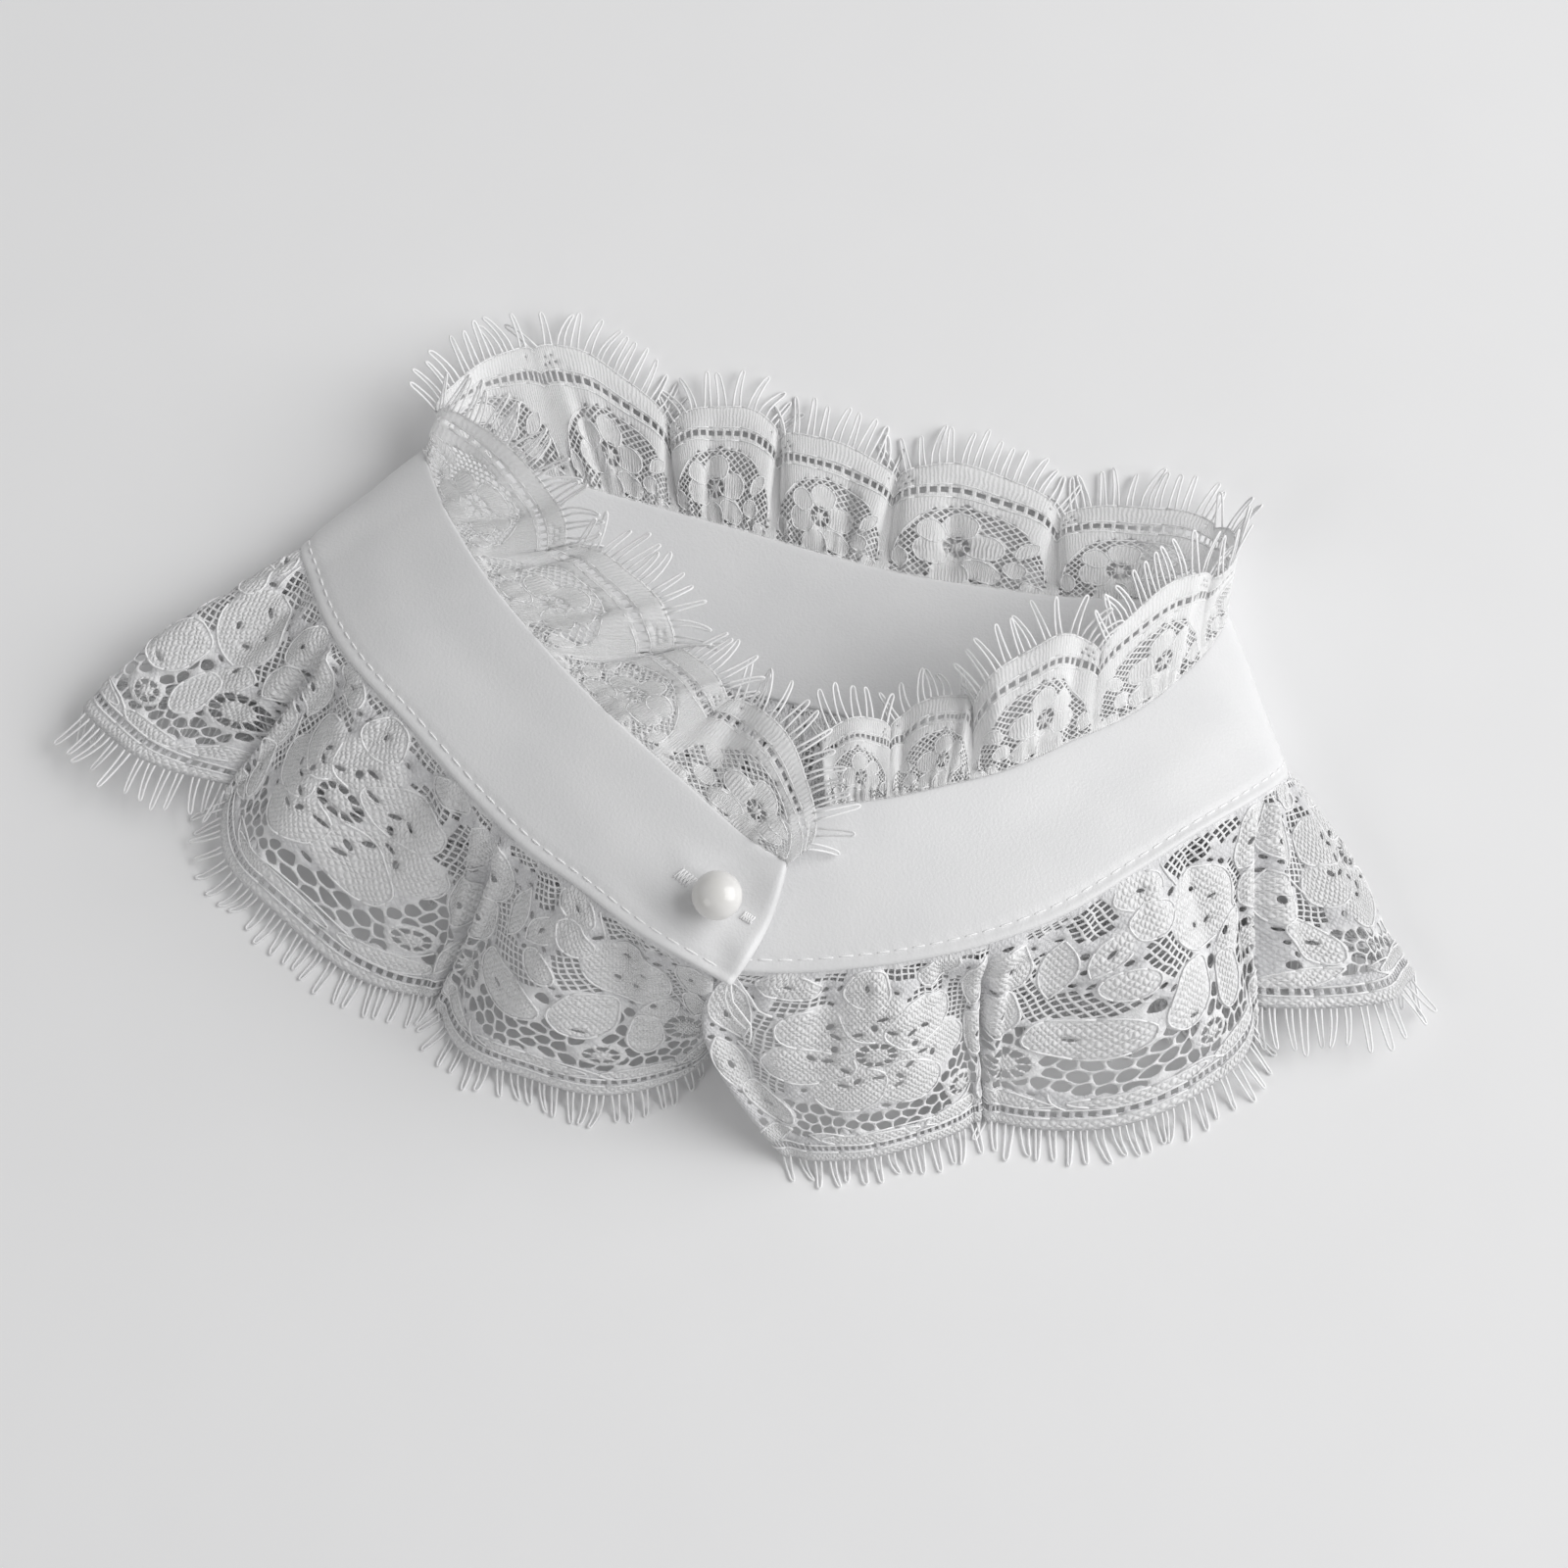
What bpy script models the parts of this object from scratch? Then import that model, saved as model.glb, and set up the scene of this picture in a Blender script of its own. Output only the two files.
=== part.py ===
"""A detachable lace collar: a satin band buttoned with a pearl, and two gathered lace strips.

The collar lies on its back on a surface. The back of its ring is flat on the surface, and
the front arches over it. X runs to the right of the collar as it is seen from above, Y
towards the back of the neck, and Z up. Tables are in millimetres and the model in metres.
"""
import math

import bmesh
import bpy
import numpy as np
from mathutils import Matrix, Vector

MM = 0.001

# The middle of the collar's box in the tables' own millimetres, which becomes the origin
BOX_MIDDLE = np.array([-0.5, -48.4, 0.0]) * MM

# Cloth thicknesses and the gap that parts one piece from the next
BAND_WALL = 1.6 * MM
LACE_WALL = 1.0 * MM
GAP = 0.3 * MM

# The band's stations, from its right end, round the back, to its left end
BAND_COLUMNS = "neck_x neck_y neck_z low_x low_y low_z"
BAND_ROWS = [
    (-12.5, -71.5, 41.0, -15.5, -96.5, 39.3),
    (-2.0, -73.5, 41.3, -1.5, -103.0, 39.8),
    (7.5, -69.5, 41.5, 12.5, -101.5, 40.0),
    (17.0, -65.5, 41.5, 28.0, -97.0, 40.2),
    (26.0, -62.0, 41.0, 38.5, -93.0, 40.0),
    (39.5, -55.0, 39.0, 54.5, -85.0, 39.0),
    (49.0, -49.5, 37.0, 66.0, -77.0, 37.5),
    (62.5, -38.0, 32.5, 81.0, -62.0, 34.0),
    (72.0, -29.5, 28.0, 91.0, -51.0, 30.5),
    (80.5, -18.5, 22.5, 101.5, -39.5, 24.0),
    (87.0, -6.5, 16.5, 107.5, -31.5, 17.0),
    (89.5, 3.0, 11.0, 108.5, -27.5, 11.0),
    (87.5, 7.0, 5.5, 106.5, -24.5, 5.5),
    (80.0, 7.5, 1.9, 98.5, -24.0, 1.9),
    (70.0, 6.0, 0.8, 87.0, -26.0, 0.8),
    (53.0, 3.0, 0.8, 65.0, -30.5, 0.8),
    (35.0, 1.3, 0.8, 43.0, -32.5, 0.8),
    (18.0, 0.3, 0.8, 21.5, -33.5, 0.8),
    (0.0, 0.8, 0.8, 0.0, -33.5, 0.8),
    (-18.0, 2.0, 0.8, -21.5, -32.5, 0.8),
    (-35.0, 3.0, 0.8, -43.0, -31.0, 0.8),
    (-53.0, 4.0, 0.8, -65.0, -28.5, 0.8),
    (-70.0, 5.5, 0.8, -88.0, -25.0, 0.8),
    (-80.5, 6.5, 1.9, -99.5, -22.5, 1.9),
    (-88.5, 5.5, 5.5, -109.0, -22.5, 5.5),
    (-91.0, 1.5, 11.5, -111.5, -26.0, 11.5),
    (-84.5, -11.0, 19.0, -107.0, -34.5, 17.0),
    (-77.0, -20.5, 24.0, -100.5, -44.0, 22.0),
    (-67.5, -30.5, 29.0, -91.5, -53.5, 27.5),
    (-54.0, -42.0, 34.0, -76.0, -65.0, 32.5),
    (-40.0, -52.5, 38.0, -56.5, -79.5, 36.5),
    (-27.5, -60.5, 40.5, -44.0, -87.5, 39.0),
    (-15.0, -68.0, 42.5, -31.0, -93.5, 41.0),
    (-1.5, -76.0, 44.0, -16.0, -100.5, 42.7),
    (10.0, -80.5, 44.5, 4.5, -107.0, 43.2),
]

# Each scallop of the wide lace: the station under its first joint, the joint and the tip of
# its scalloped edge, how deep the fold at the joint sinks into the ring, and how much the
# arch of the edge is flattened beside its joints
LACE_COLUMNS = "station joint_x joint_y joint_z tip_x tip_y tip_z fold flat"
LOWER_ROWS = [
    (1.3, 21.0, -132.0, 2.5, 40.0, -128.5, 3.5, 0.0, 1.0),
    (5.0, 60.5, -114.5, 0.8, 103.0, -102.0, 4.0, 8.0, 1.4),
    (9.3, 113.5, -79.0, 6.5, 145.5, -66.0, 6.0, 6.0, 1.0),
    (13.6, 112.0, -64.0, 0.5, 86.0, -85.0, 0.5, 1.5, 1.0),
    (15.8, 57.0, -81.0, 0.5, 28.0, -91.0, 0.5, 4.0, 1.0),
    (18.0, 0.0, -83.0, 0.5, -28.0, -91.0, 0.5, 4.0, 1.0),
    (20.2, -57.0, -81.0, 0.5, -88.0, -84.0, 0.5, 4.0, 1.0),
    (22.6, -116.0, -64.0, 0.5, -148.0, -72.0, 6.5, 1.5, 1.0),
    (27.4, -113.5, -81.0, 8.0, -104.0, -103.0, 4.0, 6.5, 1.2),
    (30.4, -59.5, -115.0, 0.8, -31.0, -129.5, 4.0, 8.0, 0.95),
    (33.8, 0.5, -113.5, 5.0, 0.0, 0.0, 0.0, 0.0, 1.0),
]

# Each scallop of the narrow lace that stands at the neck edge, in the same columns
UPPER_ROWS = [
    (2.8, 10.5, -51.0, 35.0, 16.0, -43.5, 34.0, 0.0, 1.0),
    (4.1, 24.0, -43.5, 31.0, 34.5, -33.0, 31.0, 1.5, 1.0),
    (5.4, 41.0, -37.0, 34.0, 51.0, -19.5, 39.0, 2.5, 1.0),
    (7.4, 64.5, -18.0, 34.0, 74.0, 0.5, 31.0, 2.5, 1.0),
    (9.8, 84.5, 8.0, 22.5, 88.5, 19.5, 15.5, 2.0, 1.0),
    (12.4, 83.5, 25.0, 7.0, 66.5, 28.0, 3.0, 1.5, 1.0),
    (15.1, 49.0, 21.5, 0.5, 28.5, 28.5, 3.0, 2.5, 1.0),
    (17.3, 11.5, 22.0, 0.5, -4.0, 27.5, 3.0, 2.5, 1.0),
    (18.7, -16.5, 26.0, 0.5, -30.0, 30.5, 3.0, 2.5, 1.0),
    (20.0, -41.0, 21.5, 0.5, -58.5, 34.0, 3.0, 2.5, 1.0),
    (21.3, -75.0, 33.0, 4.5, -85.0, 25.5, 9.0, 1.5, 1.0),
    (25.0, -91.0, 10.0, 14.5, -61.5, -5.5, 30.0, 1.5, 1.0),
    (27.3, -53.5, -19.5, 31.0, -36.0, -24.0, 37.0, 2.5, 1.0),
    (29.2, -24.5, -38.5, 38.0, -15.0, -42.5, 43.0, 2.5, 1.0),
    (31.4, -10.5, -48.0, 42.0, 7.0, -57.5, 47.0, 2.5, 1.0),
    (34.0, 13.0, -77.0, 46.0, 0.0, 0.0, 0.0, 0.0, 1.0),
]

# How the lace hangs between its seam and its scalloped edge
LOWER_BULGE = 3.5 * MM
UPPER_BULGE = 1.0 * MM
FOLD_SHARE = 0.16
FOLD_AT_SEAM = 0.25
FOLD_START = 0.2
GATHER_DEPTH = 1.8 * MM
GATHERS_A_SCALLOP = 2
END_SWING = 4.0 * MM
END_SWING_REACH = 0.3
MOST_BEND = 0.87

# Rows of the lace from seam to edge, and columns across one scallop. A gap of the openwork
# takes the cells that the two lists of open rows and columns name.
LOWER_ACROSS = (0.0, 0.2, 0.38, 0.5, 0.58, 0.72, 0.8, 1.0)
LOWER_ALONG = (0.0, 0.1, 0.2, 0.29, 0.353, 0.43, 0.5, 0.57, 0.647, 0.71, 0.8, 0.9)
OPEN_ROWS = (3, 5)
OPEN_COLUMNS = (3, 8)
UPPER_ACROSS = (0.0, 0.25, 0.5, 0.75, 1.0)
UPPER_ALONG = (0.0, 0.125, 0.25, 0.375, 0.5, 0.625, 0.75, 0.875)

# Eyelash fringe: a strip outside the scalloped edge, and the strands that grow from it
FRINGE_STRIP = 1.1 * MM
FRINGE_WALL = 0.7 * MM
STRAND_ROOT = 1.0 * MM
STRAND_TIP = 0.6 * MM
STRAND_LENGTH = 7.5 * MM
STRAND_LIFT = 0.45 * MM
LOWER_STRANDS_A_SCALLOP = 12
LOWER_FIRST_STRAND = 0.1
UPPER_STRANDS_A_SCALLOP = 6
UPPER_FIRST_STRAND = 0.16

# How square to the edge the strands stand at the top of a scallop and at least, and the step
# in scallops over which the edge's own direction is read
SQUARE_SHARE = 0.6
LEAST_SQUARE = 0.35
HEM_STEP = 0.02

# Pearl button and buttonhole, at the middle of the left end
BUTTON_STATION = 33.42
BUTTON_ACROSS = 0.5
PEARL_RADIUS = 5.2 * MM
PEARL_HEIGHT = 8.6 * MM
SHANK_RADIUS = 0.5 * MM
SHANK_REACH = 1.0 * MM
HOLE_LENGTH = 14.0 * MM
HOLE_WIDTH = 1.7 * MM
HOLE_DEPTH = 2.3 * MM

COLOURS = {
    "satin": ((0.86, 0.86, 0.87), 0.42),
    "lace": ((0.90, 0.90, 0.91), 0.75),
    "pearl": ((0.93, 0.92, 0.90), 0.18),
}


def table(columns, rows):
    """The named columns of a table, each as an array."""
    return dict(zip(columns.split(), np.array(rows, dtype=float).T))


def points_of(columns, prefix):
    """The points in metres that three columns of a table hold."""
    points = np.stack([columns[prefix + axis] for axis in ("_x", "_y", "_z")], axis=1) * MM
    return points - BOX_MIDDLE


def unit(vectors):
    """The same directions, each one unit long."""
    return vectors / np.linalg.norm(vectors, axis=-1, keepdims=True)


def curve(points, run, at):
    """A smooth curve through the points, read at distances along its run."""
    slope = np.gradient(points, run, axis=0)
    i = np.clip(np.searchsorted(run, at, side="right") - 1, 0, len(run) - 2)
    step = (run[i + 1] - run[i])[:, None]
    t = (at - run[i])[:, None] / step
    start = (1 + 2 * t) * (1 - t) ** 2 * points[i] + t * (1 - t) ** 2 * step * slope[i]
    end = t ** 2 * (3 - 2 * t) * points[i + 1] + t ** 2 * (t - 1) * step * slope[i + 1]
    return start + end


BAND = table(BAND_COLUMNS, BAND_ROWS)
NECK = points_of(BAND, "neck")
LOW = points_of(BAND, "low")
MIDDLE_STEPS = np.linalg.norm(np.diff((NECK + LOW) / 2, axis=0), axis=1)
BAND_RUN = np.concatenate([[0.0], np.cumsum(MIDDLE_STEPS)])


def run_at(station):
    """The distance along the band's middle at a station, which may be a fraction."""
    return np.interp(station, np.arange(len(BAND_RUN)), BAND_RUN)


def band_frame(run, across):
    """Points on the band, their outward normals, and the direction along the band."""
    neck, low = curve(NECK, BAND_RUN, run), curve(LOW, BAND_RUN, run)
    ahead = np.minimum(run + MM, BAND_RUN[-1])
    behind = ahead - 2 * MM
    point = neck + (low - neck) * across
    point[:, 2] = np.maximum(point[:, 2], BAND_WALL / 2)
    along = unit((curve(NECK, BAND_RUN, ahead) - curve(NECK, BAND_RUN, behind)) * (1 - across)
                 + (curve(LOW, BAND_RUN, ahead) - curve(LOW, BAND_RUN, behind)) * across)
    return point, unit(np.cross(low - neck, along)), along


class Lace:
    """A gathered lace strip, read by its scallop number s and its depth w from seam to edge."""

    def __init__(self, columns, rows, across, bulge, swing=0.0):
        strip = table(columns, rows)
        self.swing = swing
        self.station = strip["station"]
        self.joint, self.tip = points_of(strip, "joint"), points_of(strip, "tip")
        self.fold, self.flat = strip["fold"] * MM, strip["flat"]
        self.across = across
        self.bulge = bulge
        self.scallops = len(rows) - 1

    def hem(self, s):
        """The scalloped edge: an arch over each pair of joints, with its top at the tip."""
        i = np.clip(s.astype(int), 0, self.scallops - 1)
        start, end, tip = self.joint[i], self.joint[i + 1], self.tip[i]
        chord = end - start
        share = np.sum((tip - start) * chord, axis=1) / np.sum(chord ** 2, axis=1)
        foot = start + chord * share[:, None]
        turn = np.cos(np.pi * (s - i))[:, None]
        rise = (np.sin(np.pi * (s - i)).clip(0, 1) ** self.flat[i])[:, None]
        side = np.where(turn > 0, start - foot, foot - end)
        return foot + side * turn + (tip - foot) * rise

    def base(self, s):
        """The seam point, the edge point, the outward normal and the way along, at each s."""
        run = np.interp(s, np.arange(self.scallops + 1), run_at(self.station))
        seam, band_normal, along = band_frame(run, self.across)
        hem = self.hem(s)
        toward = unit(hem - seam)
        bend = np.abs(np.sum(toward * band_normal, axis=1))[:, None].clip(0, MOST_BEND)
        seam = seam + toward * (GAP + LACE_WALL / 2 * bend) / np.sqrt(1 - bend ** 2)
        sign = 1 if self.across < 0.5 else -1
        return seam, hem, unit(np.cross(along, hem - seam)) * sign, along

    def point(self, s, w):
        """Points of the lace, with its hang, its folds and its gathers, never under the floor."""
        seam, hem, outward, along = self.base(s)
        nearest = np.round(s).astype(int)
        trough = self.fold[nearest] * np.exp(-((s - nearest) / FOLD_SHARE) ** 2)
        gather = GATHER_DEPTH * np.sin(np.pi * GATHERS_A_SCALLOP * s) ** 2
        hang = self.bulge * 4 * w * (1 - w) * np.clip(outward[:, 2], 0, 1)
        arch = math.sin(math.pi * w)
        sink = trough * (FOLD_AT_SEAM + (1 - FOLD_AT_SEAM) * arch) * min(1, w / FOLD_START)
        sink = sink + gather * arch
        swing = self.swing * np.exp(-(s / END_SWING_REACH) ** 2) * arch
        place = seam + (hem - seam) * w + outward * (hang - sink)[:, None]
        place = place - along * swing[:, None]
        place[:, 2] = np.maximum(place[:, 2], LACE_WALL / 2)
        return place


def new_object(name, mesh, slot):
    """An object in the collar's collection, with its material."""
    piece = bpy.data.objects.new(name, mesh)
    colour, roughness = COLOURS[slot]
    material = bpy.data.materials.get(slot) or bpy.data.materials.new(slot)
    material.use_nodes = True
    shader = material.node_tree.nodes["Principled BSDF"]
    shader.inputs["Base Color"].default_value = (*colour, 1.0)
    shader.inputs["Roughness"].default_value = roughness
    shader.inputs["Metallic"].default_value = 0.0
    mesh.materials.append(material)
    parts.objects.link(piece)
    return piece


def sheet_mesh(name, rows, open_cells=()):
    """A grid of faces over rows of points, without the cells of its gaps."""
    count = len(rows[0])
    corners = [tuple(p) for row in rows for p in row]
    faces = []
    for r in range(len(rows) - 1):
        for c in range(count - 1):
            if (r, c) not in open_cells:
                a = r * count + c
                faces.append((a, a + 1, a + count + 1, a + count))
    mesh = bpy.data.meshes.new(name)
    mesh.from_pydata(corners, [], faces)
    bm = bmesh.new()
    bm.from_mesh(mesh)
    loose = [v for v in bm.verts if not v.link_faces]
    bmesh.ops.delete(bm, geom=loose, context="VERTS")
    bm.to_mesh(mesh)
    bm.free()
    return mesh


def add_wall(piece, thickness):
    """Give an open sheet its cloth thickness, half on each side."""
    wall = piece.modifiers.new("wall", "SOLIDIFY")
    wall.thickness = thickness
    wall.offset = 0.0
    wall.use_quality_normals = True


def make_band(columns=96, rows=3):
    """The satin band: one strip, with a buttonhole cut through its left end."""
    run = np.linspace(0, BAND_RUN[-1], columns + 1)
    strips = [band_frame(run, k / rows)[0] for k in range(rows + 1)]
    band = new_object("satin_band", sheet_mesh("satin_band", strips), "satin")
    add_wall(band, BAND_WALL)
    bpy.ops.mesh.primitive_cube_add(size=1.0)
    cutter = bpy.context.object
    cutter.name = "buttonhole_cutter"
    cutter.data.transform(Matrix.Diagonal((HOLE_LENGTH, HOLE_WIDTH, HOLE_DEPTH, 1.0)))
    cutter.matrix_world = button_frame()
    cutter.hide_render = True
    cutter.display_type = "WIRE"
    for holder in list(cutter.users_collection):
        holder.objects.unlink(cutter)
    cutters.objects.link(cutter)
    cut = band.modifiers.new("buttonhole", "BOOLEAN")
    cut.operation = "DIFFERENCE"
    cut.solver = "EXACT"
    cut.object = cutter


def button_frame():
    """The place of the button: X along the band, Z out of its face, origin in the cloth."""
    at = np.array([run_at(BUTTON_STATION)])
    point, normal, along = (Vector(v[0]) for v in band_frame(at, BUTTON_ACROSS))
    side = normal.cross(along)
    turn = Matrix((along, side, normal)).transposed().to_4x4()
    return Matrix.Translation(point) @ turn


def make_button():
    """The pearl on its shank, which passes the buttonhole and ends over the right end."""
    seat = BAND_WALL / 2 + GAP
    bm = bmesh.new()
    bmesh.ops.create_uvsphere(bm, u_segments=16, v_segments=10, radius=1.0)
    squash = Matrix.Diagonal((PEARL_RADIUS, PEARL_RADIUS, PEARL_HEIGHT / 2, 1.0))
    lift = Matrix.Translation((0, 0, seat + PEARL_HEIGHT / 2))
    bmesh.ops.transform(bm, matrix=lift @ squash, verts=bm.verts)
    mesh = bpy.data.meshes.new("pearl_button")
    bm.to_mesh(mesh)
    bm.free()
    button = new_object("pearl_button", mesh, "pearl")
    button.matrix_world = button_frame()
    top, bottom = seat + PEARL_HEIGHT / 2, -(BAND_WALL / 2 + SHANK_REACH)
    bm = bmesh.new()
    bmesh.ops.create_cone(bm, cap_ends=True, segments=8, radius1=SHANK_RADIUS,
                          radius2=SHANK_RADIUS, depth=top - bottom)
    bmesh.ops.translate(bm, vec=(0, 0, (top + bottom) / 2), verts=bm.verts)
    shank_mesh = bpy.data.meshes.new("shank")
    bm.to_mesh(shank_mesh)
    bm.free()
    shank = bpy.data.objects.new("shank_cutter", shank_mesh)
    shank.matrix_world = button_frame()
    shank.hide_render = True
    shank.display_type = "WIRE"
    cutters.objects.link(shank)
    union = button.modifiers.new("shank", "BOOLEAN")
    union.operation = "UNION"
    union.solver = "EXACT"
    union.object = shank


def scallop_marks(first, last, fractions):
    """The s values from one scallop joint to another, with the fractions inside each."""
    marks = [i + f for i in range(first, last) for f in fractions]
    return np.array(marks + [float(last)])


def make_lace_wall(name, lace, first, last, along, across, open_rows=(), open_columns=()):
    """One wall of lace between two scallop joints, with its larger gaps cut through."""
    s = scallop_marks(first, last, along)
    inset = GAP / 2 / np.linalg.norm(lace.tip[first] - lace.joint[first])
    if first > 0:
        s[0] += inset
    if last < lace.scallops:
        s[-1] -= inset
    gaps = {(r, i * len(along) + c) for r in open_rows for c in open_columns
            for i in range(last - first)}
    rows = [lace.point(s, w) for w in across]
    wall = new_object(name, sheet_mesh(name, rows, gaps), "lace")
    add_wall(wall, LACE_WALL)


def make_fringe(name, lace, strands_a_scallop, first_strand):
    """A strip outside the scalloped edge, with strands standing out of its outer side."""
    share = np.linspace(first_strand, 1 - first_strand, strands_a_scallop)
    s = (np.arange(lace.scallops)[:, None] + share).ravel()
    middle = lace.point(s, 1.0)
    across_hem = unit(lace.point(s + HEM_STEP, 1.0) - lace.point(s - HEM_STEP, 1.0))
    fan = unit(middle - lace.base(s)[0])
    square = unit(fan - across_hem * np.sum(fan * across_hem, axis=1)[:, None])
    arch = SQUARE_SHARE * np.tile(np.sin(np.pi * share) ** 2, lace.scallops)[:, None]
    out = square * arch + fan * (1 - arch)
    padded = np.concatenate([out[:1], out, out[-1:]])
    out = unit(padded[:-2] + out + padded[2:])
    height = np.maximum(middle[:, 2], FRINGE_WALL / 2 + STRAND_LIFT)
    middle[:, 2] = height
    steepest = (STRAND_LIFT + STRAND_TIP / 2 - height) / (STRAND_LENGTH + FRINGE_STRIP)
    fall = np.maximum(out[:, 2], steepest)
    out = unit(out * np.array([1.0, 1.0, 0.0])) * np.sqrt(1 - fall ** 2)[:, None]
    out[:, 2] = fall
    inner = GAP / np.sum(out * square, axis=1).clip(LEAST_SQUARE, 1)
    up = unit(np.cross(across_hem, out))
    corners, faces = [], []
    for k in range(len(s)):
        for side in (-0.5, 0.5):
            for reach in (inner[k], inner[k] + FRINGE_STRIP):
                for level in (-0.5, 0.5):
                    corners.append(middle[k] + across_hem[k] * STRAND_ROOT * side
                                   + out[k] * reach + up[k] * FRINGE_WALL * level)
        root = k * 8
        if k == 0:
            faces.append((root, root + 1, root + 3, root + 2))
        else:
            faces += ring_faces(root - 4, root)
        faces += ring_faces(root, root + 4, skip_outer=True)
    last = len(s) * 8 - 4
    faces.append((last + 2, last + 3, last + 1, last))
    for k in range(len(s)):
        root = k * 8
        loop = (root + 2, root + 3, root + 7, root + 6)
        end = len(corners)
        centre = sum(corners[v] for v in loop) / 4
        for v in loop:
            corners.append(centre + (corners[v] - centre) * (STRAND_TIP / STRAND_ROOT)
                           + out[k] * STRAND_LENGTH)
        for j in range(4):
            n = (j + 1) % 4
            faces.append((loop[j], loop[n], end + n, end + j))
        faces.append((end, end + 1, end + 2, end + 3))
    mesh = bpy.data.meshes.new(name)
    mesh.from_pydata([tuple(c) for c in corners], [], faces)
    bm = bmesh.new()
    bm.from_mesh(mesh)
    bmesh.ops.recalc_face_normals(bm, faces=bm.faces)
    if bm.calc_volume(signed=True) < 0:
        bmesh.ops.reverse_faces(bm, faces=bm.faces)
    bm.to_mesh(mesh)
    bm.free()
    new_object(name, mesh, "lace")


def ring_faces(a, b, skip_outer=False):
    """The faces between two four-cornered rings of the strip."""
    faces = [(a, b, b + 1, a + 1), (a, a + 2, b + 2, b), (a + 1, b + 1, b + 3, a + 3)]
    if not skip_outer:
        faces.append((a + 2, a + 3, b + 3, b + 2))
    return faces


for old in list(bpy.data.objects):
    bpy.data.objects.remove(old, do_unlink=True)
parts = bpy.data.collections.new("lace_collar")
cutters = bpy.data.collections.new("cutters")
bpy.context.scene.collection.children.link(parts)
bpy.context.scene.collection.children.link(cutters)

lower = Lace(LACE_COLUMNS, LOWER_ROWS, 1.0, LOWER_BULGE, END_SWING)
upper = Lace(LACE_COLUMNS, UPPER_ROWS, 0.0, UPPER_BULGE)
middle_joint = lower.scallops // 2

make_band()
make_button()
make_lace_wall("lower_flounce_right", lower, 0, middle_joint, LOWER_ALONG, LOWER_ACROSS,
               OPEN_ROWS, OPEN_COLUMNS)
make_lace_wall("lower_flounce_left", lower, middle_joint, lower.scallops, LOWER_ALONG,
               LOWER_ACROSS, OPEN_ROWS, OPEN_COLUMNS)
make_lace_wall("upper_ruffle", upper, 0, upper.scallops, UPPER_ALONG, UPPER_ACROSS)
make_fringe("lower_fringe", lower, LOWER_STRANDS_A_SCALLOP, LOWER_FIRST_STRAND)
make_fringe("upper_fringe", upper, UPPER_STRANDS_A_SCALLOP, UPPER_FIRST_STRAND)
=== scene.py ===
# %% [markdown]
# # A lace collar
# The collar is a band of white satin, buttoned into a ring with a pearl. A narrow lace ruffle
# stands at its neck edge and a wide lace flounce hangs from its lower edge. It lies on its back
# on a table. The imported model gives the size and place of every piece, so it is loaded first,
# and most finer pieces made here stand for one of its nodes.

# %% Load the imported model
import math

import bmesh
import bpy
import numpy as np
from mathutils import Matrix, Vector
from mathutils.geometry import delaunay_2d_cdt


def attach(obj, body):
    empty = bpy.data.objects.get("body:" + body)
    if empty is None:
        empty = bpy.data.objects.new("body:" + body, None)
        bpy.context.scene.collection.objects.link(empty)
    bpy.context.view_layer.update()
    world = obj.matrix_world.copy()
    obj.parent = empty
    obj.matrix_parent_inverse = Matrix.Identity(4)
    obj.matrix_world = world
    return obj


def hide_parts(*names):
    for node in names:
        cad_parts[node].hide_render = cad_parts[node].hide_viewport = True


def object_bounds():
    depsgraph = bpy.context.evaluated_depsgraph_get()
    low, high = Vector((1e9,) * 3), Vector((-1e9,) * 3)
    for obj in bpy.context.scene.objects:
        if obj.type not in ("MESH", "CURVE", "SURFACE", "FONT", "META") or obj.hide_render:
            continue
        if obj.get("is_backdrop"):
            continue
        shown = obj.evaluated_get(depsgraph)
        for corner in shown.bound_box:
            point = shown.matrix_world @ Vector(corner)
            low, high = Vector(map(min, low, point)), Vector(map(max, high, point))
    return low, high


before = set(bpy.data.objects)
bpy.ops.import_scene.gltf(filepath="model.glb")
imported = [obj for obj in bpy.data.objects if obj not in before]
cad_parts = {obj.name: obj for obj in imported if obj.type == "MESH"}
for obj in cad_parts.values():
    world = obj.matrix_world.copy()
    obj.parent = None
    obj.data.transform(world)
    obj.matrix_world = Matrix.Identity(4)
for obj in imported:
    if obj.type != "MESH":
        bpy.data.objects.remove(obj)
cad_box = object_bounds()
bpy.ops.object.select_all(action="DESELECT")
MM = 0.001
print("nodes:", sorted(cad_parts))

# %% [markdown]
# ## The camera and the light
# The photograph looks down on the collar at 75 degrees, turned 13 degrees to its right, through
# a short telephoto lens. The camera is placed by those angles and not by eye. A large soft lamp
# at the upper right models the folds, and a pale sky fills them.

# %% Camera, floor and lamps
LOOK_AT = Vector((4.46, -8.87, 20.0)) * MM
CAMERA_TURN = math.radians(13)
CAMERA_HEIGHT = math.radians(75)
CAMERA_AWAY = 793.3 * MM
FLOOR_SIZE = 6.0
KEY_PLACE = Vector((1.6, 0.5, 1.3))
KEY_POWER = 44.5
FILL_PLACE = Vector((-1.1, -1.3, 1.2))
FILL_POWER = 5.0
SKY_STRENGTH = 0.27


def direction(turn, height):
    """The way from the collar to something seen at a turn round it and a height above it."""
    return Vector((math.sin(turn) * math.cos(height), -math.cos(turn) * math.cos(height),
                   math.sin(height)))


def add_lamp(name, place, size, power):
    """A square soft lamp that points at the collar."""
    bpy.ops.object.light_add(type="AREA", location=place)
    lamp = bpy.context.object
    lamp.name = name
    lamp.data.shape = "SQUARE"
    lamp.data.size = size
    lamp.data.energy = power
    lamp.rotation_euler = (LOOK_AT - place).to_track_quat("-Z", "Y").to_euler()


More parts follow.
